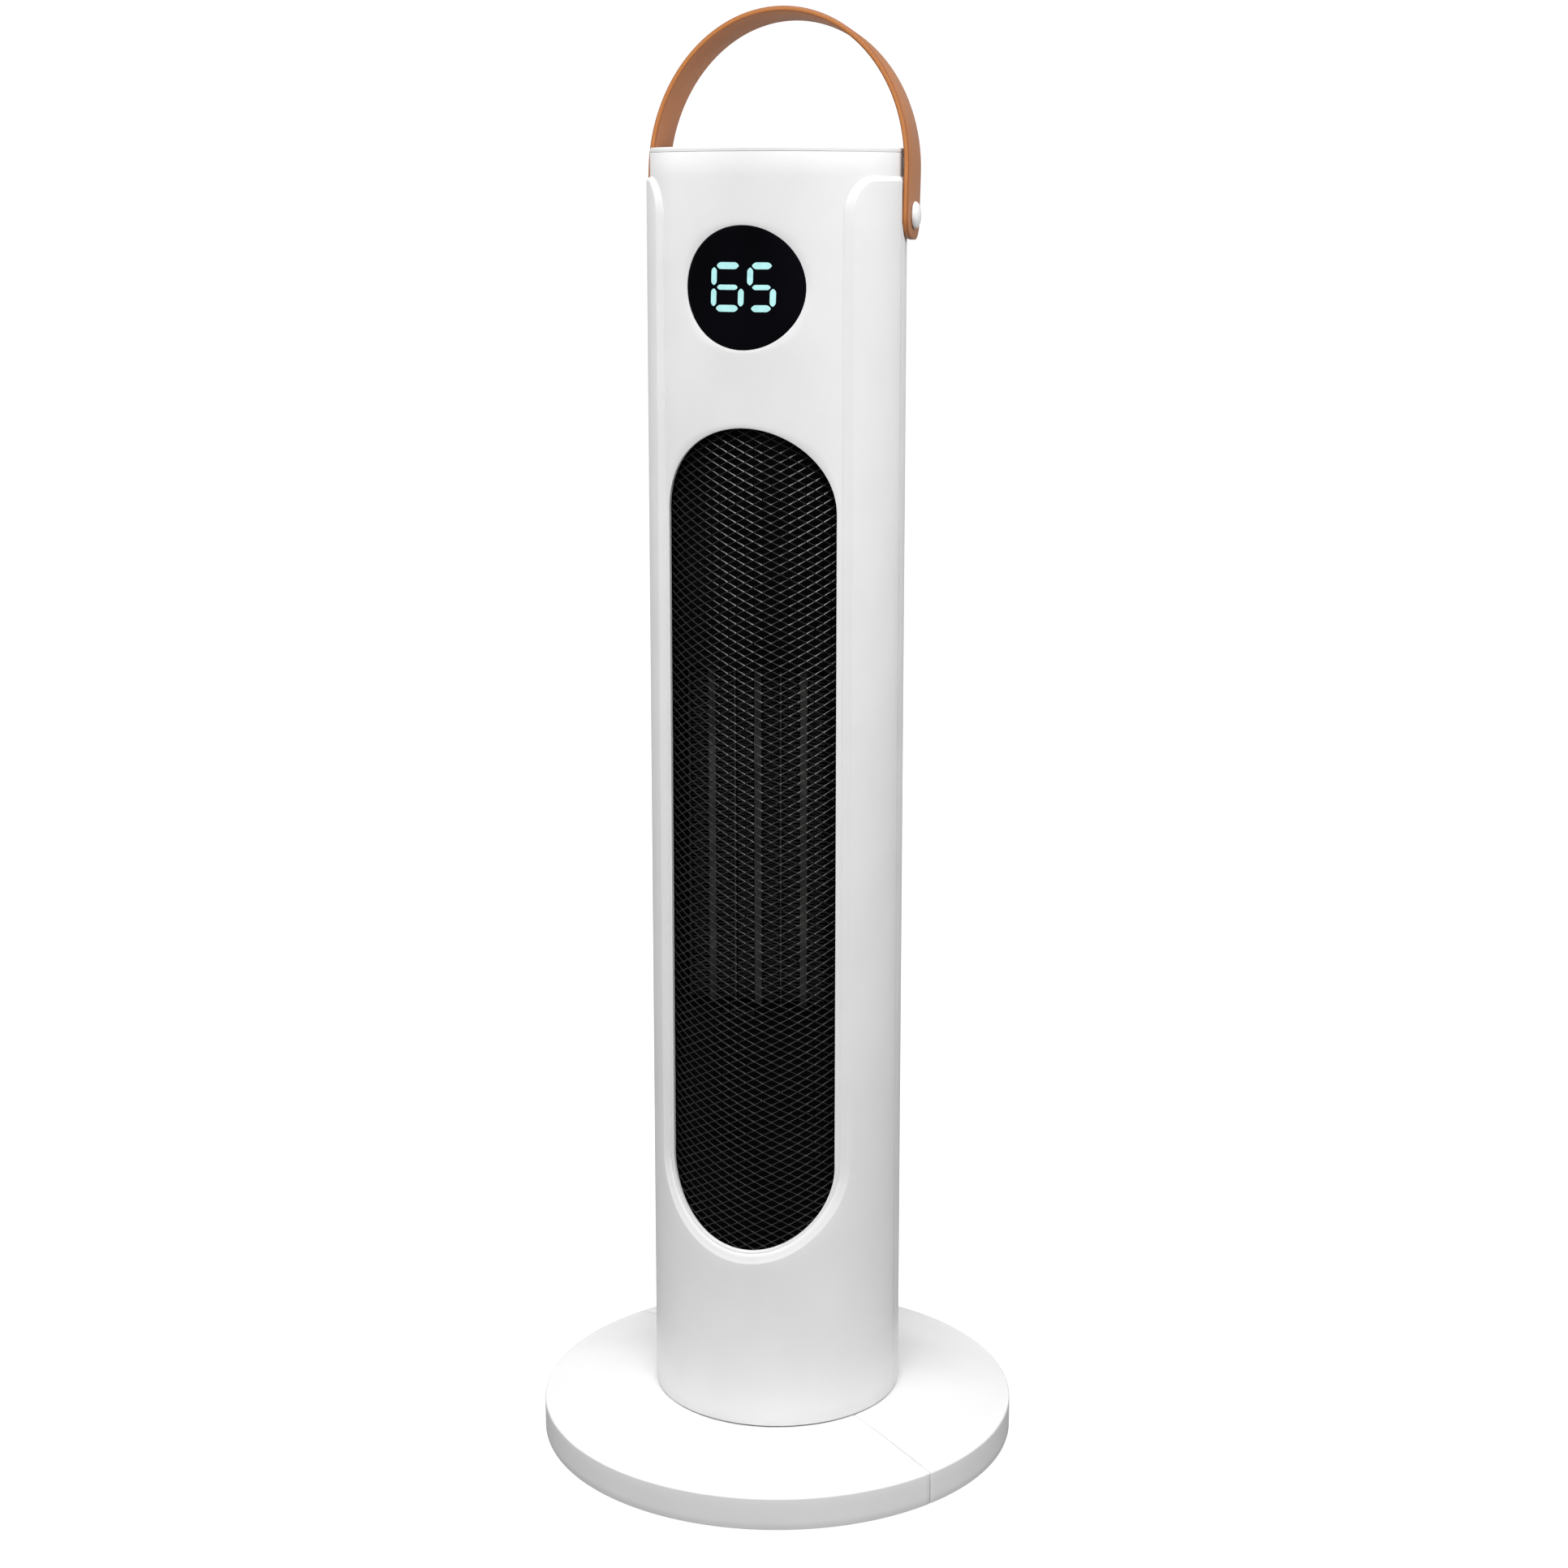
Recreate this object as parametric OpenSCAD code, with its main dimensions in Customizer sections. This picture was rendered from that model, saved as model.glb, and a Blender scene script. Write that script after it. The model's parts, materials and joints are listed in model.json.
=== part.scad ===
// Tower ceramic heater on a round swing base, with a strap handle.
// Millimetres, +Z up, front towards -Y, origin on the floor under the tower's axis.

/* [Base] */
// Diameter of the round base
base_d = 236; // [220:1:270]
// Height of the edge where the base's side meets its domed top
rim_h = 17; // [14:0.1:18]
// Height of the domed top where it meets the tower
dome_h = 24.4; // [23.5:0.1:26]
// Wall of the moulded base halves
base_wall = 2.5; // [2:0.1:3]
// Rounding of the base's upper edge
rim_r = 1; // [0.8:0.1:2]
// How far the rubber feet stand below the base's skirt
foot_drop = 0.8; // [0.5:0.1:1]
// Number of rubber feet
foot_n = 6; // [4:1:8]

/* [Swing] */
// Whole angle of the swing
swing_deg = 73; // [60:1:90]
// Teeth of the gear fixed on the post
gear_n = 36; // [36:1:36]
// Teeth of the motor's pinion
pinion_n = 12; // [12:1:12]
// Tooth module of the gear pair
gear_m = 1; // [1:0.1:1]
// Radius of the pivot post
post_r = 12; // [11:0.5:13]
// Running clearance between the post and the tower's bearing
run_gap = 0.06; // [0.03:0.01:0.1]

/* [Tower] */
// Outer radius of the casing
shell_r = 61.4; // [60:0.1:63]
// Outer radius of the front panel and the neck
panel_r = 59.6; // [58.4:0.1:59.8]
// Height of the casing's lower edge
shell_z0 = 24.9; // [24.8:0.1:26]
// Height of the casing's upper shoulder
shell_z1 = 624.1; // [615:0.1:628]
// Height of the tower's top
top_z = 637.4; // [634:0.1:642]
// Thickness of the top cover's edge
cover_t = 2.1; // [1.6:0.1:2.6]
// Distance of the casing's side seam in front of the axis
seam_y = 3; // [0:0.5:4]

/* [Window, grille and display] */
// Half width of the window in the casing
window_w = 45; // [43:0.5:47]
// Height of the centre of the window's lower round end
window_z0 = 155.1; // [154:0.1:160]
// Half width of the outlet in the front panel
outlet_w = 40.4; // [36:0.1:41]
// Height of the centre of the outlet's lower round end
outlet_z0 = 153.8; // [150:0.1:160]
// Height of the centre of the outlet's upper round end
outlet_z1 = 470.3; // [440:0.1:480]
// Radius of the round display
display_r = 28; // [22:0.5:30]
// Height of the display's centre
display_z = 574.3; // [565:0.1:580]

/* [Handle] */
// Height of the handle's pivots
pivot_z = 606.4; // [600:0.1:610]
// Distance of the handle's pivots behind the axis
pivot_y = 11.2; // [11.2:0.1:14]
// Width of the strap
strap_w = 27; // [20:0.5:27]
// Thickness of the strap
strap_t = 2.8; // [2:0.1:3.2]
// Half width between the strap's outer faces
strap_x = 63.7; // [63.5:0.1:65]
// Height of the strap's top above its pivots
strap_h = 96; // [85:0.5:110]
// Backward lean of the strap at rest
strap_lean = 6; // [0:0.5:6]

/* [Heater and blower] */
// Width of the ceramic heater pack
ptc_w = 69; // [60:1:70]
// Depth of the ceramic heater pack
ptc_d = 12; // [10:1:14]
// Height of the middle of the heater pack
ptc_z = 313.5; // [300:0.5:330]
// Height of the heater pack
ptc_h = 167; // [140:1:170]
// Radius of the blower wheel
wheel_r = 24; // [20:1:25]
// Number of blower blades
blade_n = 26; // [16:1:30]

/* [Controls] */
// Radius of the round buttons
button_r = 7; // [5:0.5:8]
// Travel of the buttons
button_travel = 0.8; // [0.5:0.1:1]
// Spacing of the buttons from side to side
button_dx = 22; // [18:1:24]
// Spacing of the two rows of buttons
button_dy = 20; // [18:1:24]

/* [Hidden] */

$fn = 72;
// Small gap between parts of one body and larger gap between moving bodies
fit_gap = 0.1;
move_gap = 0.3;
big = 400;

// Colours
white = [0.93, 0.93, 0.92];
dark = [0.06, 0.06, 0.07];
steel = [0.72, 0.73, 0.75];
tan = [0.74, 0.42, 0.2];
board_green = [0.08, 0.3, 0.16];
alu = [0.8, 0.81, 0.82];
copper = [0.75, 0.42, 0.22];

// Base
base_r = base_d / 2;
base_yaw = -swing_deg / 2;
skirt_z0 = foot_drop;
dome_r0 = base_r - rim_r;
dome_r1 = shell_r - 0.9;
dome_k = (dome_h - rim_h) / (dome_r0 * dome_r0 - dome_r1 * dome_r1);
seat_z = 23.4;
deck_t = 4;
seam_gap = 0.1;
ballast_z0 = 1.6;
ballast_t = 2;
ballast_r = base_r - base_wall - 0.6;
foot_r = 7;
foot_pcd_r = 100;
base_screw_r = 85;
boss_r = 5;
screw_r = 1.6;
screw_head_r = 3.1;

// Post and swing drive
hub_r = 52;
hub_z0 = 16.8;
hub_z1 = seat_z - deck_t - fit_gap;
post_top = 52;
post_bore_r = 8;
hub_screw_r = 42;
plate_z0 = 26;
plate_t = 2.6;
bearing_z1 = 36;
bearing_r = 17;
washer_t = 1.5;
washer_z0 = bearing_z1 + fit_gap;
clip_z0 = washer_z0 + washer_t + fit_gap;
clip_t = 1.2;
groove_depth = 1;
gear_z0 = 41;
gear_t = 5;
gear_pitch_r = gear_m * gear_n / 2;
pinion_pitch_r = gear_m * pinion_n / 2;
gear_play = 0.2;
tooth_thin = 0.15;
gear_dist = gear_pitch_r + pinion_pitch_r + gear_play;
motor_can_r = 14;
motor_can_h = 19;
motor_offset = 8;
motor_z0 = 50;
motor_ear_x = 17.5;
shaft_r = 2.5;

// Tower walls
shell_t = 1.6;
shell_in = shell_r - shell_t;
panel_t = 2.2;
panel_in = panel_r - panel_t;
panel_z0 = 101;
panel_half_deg = 55;
cover_z0 = top_z - cover_t;
shoulder_w = 6;
shoulder_h = 16.2;
step_z = shell_z1 - 5;
screw_heights = [60, 300, 560];
shell_screw_x = 52.5;
shell_boss_r = 3.6;
screw_seat_y = 8;
foot_screw_r = 53.5;
foot_screw_angles = [60, 120, 240, 300];
lug_r = 3.6;
lug_h = 9;
post_peg_r = 2.4;
board_y = 6;

// Rear intake
intake_rows = 24;
intake_cols = 5;
intake_pitch = 9;
intake_z0 = 205;
slot_h = 4;
slot_deg = 13;
slot_step_deg = 16;

// Grille
mesh_r = 56.4;
mesh_t = 0.8;
mesh_dx = 24.9;
mesh_dz = 12.9;
mesh_strand = 1.9;
mesh_rim = 1.8;

// Handle
seat_x = strap_x - strap_t - move_gap;
seat_r = 14.2;
fold_seat_y = 7.2;
fold_seat_z = 18.6;
strap_ell_z = 21;
strap_foot = 11;
strap_corner = 9;
pin_r = 3.5;
eyelet_r = 4.6;
cap_r = 6.4;
cap_h = 2.9;
cap_z = strap_x + move_gap;

// Heater
ptc_y = -35;
bar_w = 3.4;
sep_w = 0.8;
bar_dx = (ptc_w - sep_w - 4 * fit_gap) / 3;
frame_wall = 3;
fin_pitch = 3.3;
fin_t = 0.8;
fin_in = bar_w / 2 + fit_gap / 2;
fin_out = bar_dx / 2 - sep_w / 2 - fit_gap / 2;

// Blower
wheel_y = 14;
wheel_z0 = ptc_z - 86;
wheel_z1 = ptc_z + 86;
disc_t = 1.6;
shaft_d_r = 2;
stator_r = 21;
stator_z0 = wheel_z1 + 17.6;
stator_t = 14;

// Buttons
button_top = top_z + 0.8;
board_z = 612;
board_t = 1.6;
switch_h = 8.6;
plunger_r = 3;

// Rocker switch and gland
rocker_z = 76;
gland_z = 46;
gland_r = 6.5;
gland_bore_r = 3.6;

// ---- Shared shapes ----

// Ring standing on z = 0
module ring(r_out, r_in, h, fn = 96) {
  difference() {
    cylinder(r = r_out, h = h, $fn = fn);
    translate([0, 0, -1]) cylinder(r = r_in, h = h + 2, $fn = fn);
  }
}

// Half ring in front of (side = -1) or behind (side = 1) the plane y = y0
module half_ring(r_out, r_in, h, side, y0) {
  intersection() {
    ring(r_out, r_in, h);
    translate([-big / 2, side > 0 ? y0 : y0 - big, -1]) cube([big, big, h + 2]);
  }
}

// Wedge centred on the front, from the axis outwards
module front_wedge(half_deg, h) {
  reach = big / 2;
  linear_extrude(height = h)
    polygon([
      [0, 0],
      [-reach * sin(half_deg), -reach * cos(half_deg)],
      [0, -reach * 1.5],
      [reach * sin(half_deg), -reach * cos(half_deg)]
    ]);
}

// Outline in the front view, cut straight through towards the front
module through_front(depth = big) {
  rotate([90, 0, 0]) linear_extrude(height = depth) children();
}

// Stadium outline standing upright
module stadium(w, z0, z1) {
  translate([0, z0]) circle(r = w, $fn = 96);
  translate([0, z1]) circle(r = w, $fn = 96);
  translate([-w, z0]) square([2 * w, z1 - z0]);
}

// Window outline: round below, straight sides, flared at the shoulder
module window_outline(w) {
  translate([0, window_z0]) circle(r = w, $fn = 96);
  flare = [for (t = [0:10:90]) [w + shoulder_w * (1 - cos(t)), shell_z1 - shoulder_h * (1 - sin(t))]];
  left = [for (i = [len(flare) - 1:-1:0]) [-flare[i][0], flare[i][1]]];
  over = shell_z1 + 2;
  polygon(concat(
    [[w, window_z0]],
    flare,
    [[w + shoulder_w, over], [-w - shoulder_w, over]],
    left,
    [[-w, window_z0]]
  ));
}

// Cylinder along +X
module rod_x(r, l, fn = 48) {
  rotate([0, 90, 0]) cylinder(r = r, h = l, $fn = fn);
}

// Cylinder along +Y
module rod_y(r, l, fn = 48) {
  rotate([-90, 0, 0]) cylinder(r = r, h = l, $fn = fn);
}

// Pan-head screw: head below z = 0, shank up
module screw(r, head_r, l, head_h = 1.2) {
  translate([0, 0, -head_h]) cylinder(r = head_r, h = head_h, $fn = 32);
  cylinder(r = r, h = l, $fn = 32);
}

// Spur gear outline: trapezoidal teeth whose flanks lean as an involute's do at the pitch circle
function tooth(m, n, thin, i) =
  let (
    rp = m * n / 2,
    step = 360 / n,
    half = step / 4 - thin / rp * 90 / PI,
    lean = m * tan(20) / rp * 180 / PI,
    a = i * step
  )
  [
    [rp - 1.2 * m, a - step / 2 + (step / 2 - half - 1.2 * lean) * 0.9],
    [rp, a - half],
    [rp + 0.5 * m, a - half + 0.5 * lean * 0.9],
    [rp + m, a - half + lean],
    [rp + m, a + half - lean],
    [rp + 0.5 * m, a + half - 0.5 * lean * 0.9],
    [rp, a + half],
    [rp - 1.2 * m, a + step / 2 - (step / 2 - half - 1.2 * lean) * 0.9]
  ];
module gear_outline(m, n, thin) {
  polygon([
    for (i = [0:n - 1])
      for (p = tooth(m, n, thin, i))
        [p[0] * cos(p[1]), p[0] * sin(p[1])]
  ]);
}

// ---- Base ----

// Height of the domed top at radius r
function dome_z(r) = rim_h + (dome_r0 * dome_r0 - r * r) * dome_k;

// Solid of revolution of the base's outer shape, from the skirt's lower edge
module base_outer() {
  rim = [for (t = [0:15:90]) [dome_r0 + rim_r * cos(t), rim_h - rim_r + rim_r * sin(t)]];
  dome = [for (i = [1:10]) let (r = dome_r0 + (dome_r1 - dome_r0) * i / 10) [r, dome_z(r)]];
  rotate_extrude($fn = 120)
    polygon(concat(
      [[0, skirt_z0], [base_r - 0.6, skirt_z0], [base_r, skirt_z0 + 0.6]],
      rim,
      dome,
      [[dome_r1, seat_z], [0, seat_z]]
    ));
}

// Room inside the base
module base_inner() {
  drop = base_wall;
  inner = [for (i = [0:10]) let (r = dome_r0 - 1 + (dome_r1 - dome_r0) * i / 10) [r, dome_z(r) - drop]];
  rotate_extrude($fn = 120)
    polygon(concat(
      [[0, 0], [base_r - base_wall, 0], [base_r - base_wall, rim_h - base_wall - 1]],
      inner,
      [[dome_r1 - 6, seat_z - deck_t], [0, seat_z - deck_t]]
    ));
}

// Places the base's own frame, whose halves meet on its X axis
module on_base() {
  rotate([0, 0, base_yaw]) children();
}

module base_bosses() {
  for (a = [30, 90, 150, 210, 270, 330])
    rotate([0, 0, a])
      translate([base_screw_r, 0, ballast_z0 + ballast_t + fit_gap])
        cylinder(r = boss_r, h = 14.5, $fn = 32);
}

module base_half(side) {
  on_base()
    intersection() {
      difference() {
        union() {
          difference() {
            base_outer();
            base_inner();
          }
          intersection() {
            base_bosses();
            base_outer();
          }
        }
        translate([0, 0, -1]) cylinder(r = post_r + 4, h = 50);
        for (a = [30:60:330])
          rotate([0, 0, a])
            translate([base_screw_r, 0, 0]) cylinder(r = screw_r, h = 13, $fn = 32);
        for (a = [30:60:330])
          rotate([0, 0, a])
            translate([hub_screw_r, 0, 0]) cylinder(r = screw_r, h = 22.4, $fn = 32);
      }
      translate([-big / 2, side > 0 ? seam_gap : -seam_gap - big, -1]) cube([big, big, 60]);
    }
}

module base_half_front() {
  color(white) base_half(-1);
}

module base_half_rear() {
  color(white) base_half(1);
}

module ballast_plate() {
  color(steel)
    on_base()
      translate([0, 0, ballast_z0])
        difference() {
          cylinder(r = ballast_r, h = ballast_t, $fn = 120);
          for (a = [30:60:330])
            rotate([0, 0, a])
              translate([base_screw_r, 0, -1]) cylinder(r = screw_r + 0.2, h = ballast_t + 2, $fn = 32);
          translate([0, 0, -1]) cylinder(r = 20, h = ballast_t + 2);
        }
}

module rubber_feet() {
  color(dark)
    on_base()
      for (i = [0:foot_n - 1])
        rotate([0, 0, i * 360 / foot_n])
          translate([foot_pcd_r, 0, 0]) {
            translate([0, 0, 0.4]) cylinder(r = foot_r, h = ballast_z0 - 0.4, $fn = 40);
            cylinder(r1 = foot_r - 0.5, r2 = foot_r, h = 0.4, $fn = 40);
          }
}

module base_screws() {
  color(steel)
    on_base()
      for (a = [30:60:330])
        rotate([0, 0, a])
          translate([base_screw_r, 0, ballast_z0]) screw(screw_r - 0.05, screw_head_r, 10.5, 1.1);
}

// ---- Post, bearing and swing drive ----

module pivot_post() {
  color(dark)
    on_base()
      difference() {
        union() {
          translate([0, 0, hub_z0]) cylinder(r = hub_r, h = hub_z1 - hub_z0);
          translate([0, 0, hub_z0]) cylinder(r = post_r, h = post_top - hub_z0);
        }
        cylinder(r = post_bore_r, h = 100);
        for (a = [30:60:330])
          rotate([0, 0, a])
            translate([hub_screw_r, 0, 0]) cylinder(r = screw_r + 0.2, h = 30, $fn = 32);
        translate([0, 0, clip_z0 - 0.1]) ring(post_r + 2, post_r - groove_depth, clip_t + 0.2);
        translate([post_r - 1.5, -1.6, gear_z0 - 0.1]) cube([4, 3.2, 30]);
      }
}

module hub_screws() {
  color(steel)
    on_base()
      for (a = [30:60:330])
        rotate([0, 0, a])
          translate([hub_screw_r, 0, hub_z0]) screw(screw_r - 0.05, screw_head_r, 5.2, 1.6);
}

module glide_ring() {
  color(alu)
    translate([0, 0, seat_z]) ring(50, 42, plate_z0 - seat_z - 0.05);
}

module thrust_washer() {
  color(steel)
    translate([0, 0, washer_z0]) ring(bearing_r, post_r + 0.1, washer_t);
}

module post_circlip() {
  color(steel)
    on_base()
      translate([0, 0, clip_z0])
        difference() {
          ring(post_r + 2.6, post_r - groove_depth + 0.05, clip_t);
          translate([post_r - 3, -4, -1]) cube([10, 8, clip_t + 2]);
        }
}

module swing_gear() {
  color(alu)
    translate([0, 0, gear_z0])
      difference() {
        union() {
          linear_extrude(height = gear_t) gear_outline(gear_m, gear_n, tooth_thin);
          cylinder(r = post_r + 3.5, h = gear_t + 1.5);
        }
        difference() {
          translate([0, 0, -1]) cylinder(r = post_r + 0.02, h = gear_t + 4);
          rotate([0, 0, base_yaw])
            translate([post_r - 1.4, -1.5, -2]) cube([4, 3, gear_t + 6]);
        }
      }
}

// Places the motor's shaft: behind the axis, where the pinion meets the gear
module at_pinion() {
  translate([0, gear_dist, 0]) children();
}

module swing_pinion() {
  color(alu)
    at_pinion()
      translate([0, 0, gear_z0 - 0.5])
        difference() {
          rotate([0, 0, -90 + 180 / pinion_n])
            linear_extrude(height = gear_t + 1) gear_outline(gear_m, pinion_n, tooth_thin);
          translate([0, 0, 1]) cylinder(r = 1.6, h = gear_t + 4, $fn = 32);
        }
}

module swing_motor() {
  color(steel)
    at_pinion() {
      translate([0, 0, motor_z0 - 1.5]) cylinder(r = 4.5, h = 1.5, $fn = 40);
      translate([0, 0, gear_z0 + 3]) cylinder(r = 1.25, h = motor_z0 - gear_z0 - 3, $fn = 32);
      translate([0, motor_offset, motor_z0]) {
        cylinder(r = motor_can_r, h = motor_can_h);
        difference() {
          translate([-21, -3.5, 0]) cube([42, 7, 0.8]);
          for (s = [-1, 1])
            translate([s * motor_ear_x, 0, -1]) cylinder(r = 1.8, h = 4, $fn = 32);
        }
      }
    }
}

module motor_spacers() {
  color(steel)
    at_pinion()
      translate([0, motor_offset, 0])
        for (s = [-1, 1])
          translate([s * motor_ear_x, 0, 0]) {
            translate([0, 0, plate_z0 + plate_t]) cylinder(r = 3, h = motor_z0 - plate_z0 - plate_t, $fn = 6);
            translate([0, 0, motor_z0]) cylinder(r = 1.7, h = 0.8, $fn = 32);
            translate([0, 0, motor_z0 + 0.8]) cylinder(r = 2.8, h = 1.5, $fn = 32);
          }
}

module bottom_plate() {
  color(dark)
    difference() {
      union() {
        translate([0, 0, plate_z0]) cylinder(r = shell_in - 0.3, h = plate_t, $fn = 96);
        translate([0, 0, plate_z0]) cylinder(r = bearing_r, h = bearing_z1 - plate_z0);
      }
      translate([0, 0, plate_z0 - 1]) cylinder(r = post_r + run_gap, h = 20);
      for (a = foot_screw_angles)
        rotate([0, 0, a]) translate([foot_screw_r, 0, plate_z0 - 1]) cylinder(r = 1.4, h = 8, $fn = 32);
    }
}

module bottom_screws() {
  color(steel)
    for (a = foot_screw_angles)
      rotate([0, 0, a])
        translate([foot_screw_r, 0, plate_z0]) screw(1.18, 2.3, 9, 1.1);
}

// ---- Tower casing ----

// Boss for a casing screw, from y0 to y1, trimmed to the casing's inside
module shell_boss(s, z, y0, y1) {
  intersection() {
    translate([s * shell_screw_x, y0, z]) rod_y(shell_boss_r, y1 - y0);
    translate([0, 0, z - 10]) cylinder(r = shell_in + 0.4, h = 20);
  }
}

// Lug inside the casing's foot for a screw from below
module foot_lug(a) {
  z = plate_z0 + plate_t + fit_gap;
  intersection() {
    rotate([0, 0, a])
      translate([foot_screw_r, 0, z])
        difference() {
          union() {
            cylinder(r = lug_r, h = lug_h, $fn = 40);
            translate([0, -lug_r, 0]) cube([10, 2 * lug_r, lug_h]);
          }
          translate([0, 0, -1]) cylinder(r = 1.2, h = lug_h, $fn = 32);
        }
    translate([0, 0, z - 1]) cylinder(r = shell_in + 0.4, h = lug_h + 2);
  }
}

module front_shell() {
  color(white)
    difference() {
      union() {
        foot_lug(foot_screw_angles[2]);
        foot_lug(foot_screw_angles[3]);
        translate([0, 0, shell_z0]) half_ring(shell_r, shell_in, shell_z1 - shell_z0, -1, -seam_y - 0.05);
        for (s = [-1, 1])
          for (z = screw_heights)
            shell_boss(s, z, -50, -seam_y - 0.1);
      }
      through_front() window_outline(window_w);
      for (s = [-1, 1])
        for (z = screw_heights)
          translate([s * shell_screw_x, -20, z]) rod_y(1.2, 30, 32);
    }
}

// Flat seat for the strap on the casing's side, open behind
module strap_seat(s) {
  translate([s > 0 ? seat_x : -seat_x - 10, 0, 0]) {
    translate([0, pivot_y, pivot_z]) rod_x(seat_r, 10, 64);
    translate([0, pivot_y - seat_r - 1, pivot_z - 4]) cube([10, seat_r * 4, 60]);
    // Room for the strap's edge when it is folded right back
    translate([0, pivot_y - fold_seat_y, pivot_z - fold_seat_z]) cube([10, seat_r * 3, 40]);
  }
}

module rear_shell() {
  color(white)
    difference() {
      union() {
        difference() {
          union() {
            translate([0, 0, shell_z0]) half_ring(shell_r, shell_in, shell_z1 - shell_z0, 1, -seam_y + 0.05);
            translate([0, 0, step_z]) half_ring(panel_r, panel_in, cover_z0 - step_z - 0.1, 1, -seam_y + 0.05);
            translate([0, 0, step_z])
              half_ring(shell_in + 0.5, panel_in + 0.5, shell_z1 - step_z, 1, -seam_y + 0.05);
            for (s = [-1, 1])
              for (z = screw_heights)
                shell_boss(s, z, -seam_y + 0.1, 50);
            foot_lug(foot_screw_angles[0]);
            foot_lug(foot_screw_angles[1]);
            // Pegs that carry the power board
            for (s = [-1, 1])
              for (z = [111.5, 188.5])
                intersection() {
                  translate([s * 29, board_y + board_t + fit_gap, z]) rod_y(post_peg_r, 60, 32);
                  translate([0, 0, z - 10]) cylinder(r = shell_in + 0.4, h = 20);
                }
            for (s = [-1, 1])
              intersection() {
                translate([s * 57 - 6, pivot_y, pivot_z]) rod_x(7, 12);
                translate([0, 0, pivot_z - 10]) cylinder(r = shell_in + 0.4, h = 20);
              }
          }
          strap_seat(1);
          strap_seat(-1);
        }
        // Pads keep the wall's full thickness behind the strap's seats
        for (s = [-1, 1])
          intersection() {
            translate([s > 0 ? seat_x - 1.8 : -seat_x, -seam_y + 0.5, pivot_z - 21]) cube([1.8, 14, 35]);
            translate([0, 0, 500]) cylinder(r = shell_in + 0.4, h = 150);
          }
      }
      // Screw holes: wide from behind down to the seat, narrow through it
      for (s = [-1, 1])
        for (z = screw_heights)
          translate([s * shell_screw_x, 0, z]) {
            translate([0, screw_seat_y, 0]) rod_y(2.4, 60);
            translate([0, -10, 0]) rod_y(1.5, 30, 32);
          }
      // Pivot pin holes
      for (s = [-1, 1])
        translate([s * 57 - 12, pivot_y, pivot_z]) rod_x(2.5, 24, 32);
      // Intake slots
      for (row = [0:intake_rows - 1])
        for (col = [0:intake_cols - 1])
          rotate([0, 0, (col - (intake_cols - 1) / 2) * slot_step_deg])
            translate([-shell_r * sin(slot_deg / 2), shell_r - 10, intake_z0 + row * intake_pitch])
              cube([2 * shell_r * sin(slot_deg / 2), 20, slot_h]);
      // Rocker switch and cord gland
      translate([-10.6, 40, rocker_z - 7.1]) cube([21.2, 30, 14.2]);
      translate([0, 40, gland_z]) rod_y(gland_r, 30);
    }
}

module shell_screws() {
  color(steel)
    for (s = [-1, 1])
      for (z = screw_heights)
        translate([s * shell_screw_x, screw_seat_y, z]) rotate([90, 0, 0]) screw(1.18, 2.3, 22, 1.6);
}

module front_panel() {
  color(white)
    difference() {
      union() {
        intersection() {
          translate([0, 0, panel_z0]) ring(panel_r, panel_in, cover_z0 - panel_z0 - 0.1);
          translate([0, 0, panel_z0]) front_wedge(panel_half_deg, cover_z0 - panel_z0);
        }
        translate([0, 0, shell_z1 + 0.1])
          half_ring(panel_r, panel_in, cover_z0 - shell_z1 - 0.2, -1, -seam_y - 0.05);
        // Pegs that carry the display's board
        for (s = [-1, 1])
          for (z = [display_z - 21, display_z + 21])
            intersection() {
              translate([s * 23, -55, z]) rod_y(2, 12, 32);
              translate([0, 0, z - 5]) cylinder(r = panel_in + 0.3, h = 10);
            }
      }
      through_front() stadium(outlet_w, outlet_z0, outlet_z1);
      through_front() translate([0, display_z]) circle(r = display_r + 0.12, $fn = 96);
    }
}

// Diamond openings of the outlet mesh, as a flat pattern
module mesh_holes() {
  cols = floor(outlet_w / mesh_dx) + 1;
  rows = ceil((outlet_z1 - outlet_z0 + 2 * outlet_w) / mesh_dz);
  hx = mesh_dx / 2 - mesh_strand;
  hz = mesh_dz / 2 - mesh_strand / 2;
  for (k = [0, 1])
    for (i = [-cols:cols])
      for (j = [0:rows])
        translate([(i + k / 2) * mesh_dx, outlet_z0 - outlet_w + (j + k / 2) * mesh_dz])
          polygon([[-hx, 0], [0, -hz], [hx, 0], [0, hz]]);
}

module front_grille() {
  color(dark)
    intersection() {
      translate([0, 0, panel_z0]) ring(mesh_r + mesh_t, mesh_r, 460);
      through_front()
        difference() {
          stadium(outlet_w + mesh_rim, outlet_z0, outlet_z1);
          intersection() {
            mesh_holes();
            stadium(outlet_w - 0.3, outlet_z0, outlet_z1);
          }
        }
    }
}

module grille_clamp() {
  color(dark)
    intersection() {
      translate([0, 0, panel_z0]) ring(mesh_r - 0.1, mesh_r - 2, 460);
      through_front()
        difference() {
          stadium(outlet_w + mesh_rim, outlet_z0, outlet_z1);
          stadium(outlet_w + 0.2, outlet_z0, outlet_z1);
        }
    }
}

module display_lens() {
  color(dark)
    intersection() {
      translate([0, 0, display_z - 40]) ring(panel_r, panel_in, 80);
      through_front() translate([0, display_z]) circle(r = display_r, $fn = 96);
    }
}

module display_module() {
  color([0.2, 0.24, 0.26])
    translate([-22, -50, display_z - 15]) cube([44, 7, 30]);
}

module display_board() {
  color(board_green)
    translate([-26, -42.9, display_z - 24]) cube([52, board_t, 48]);
}

// Centres of the six buttons: power, heat, timer in front, minus, swing, plus behind
function button_x(i) = (i % 3 - 1) * button_dx;
function button_y(i) = (floor(i / 3) - 0.5) * button_dy;

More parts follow.
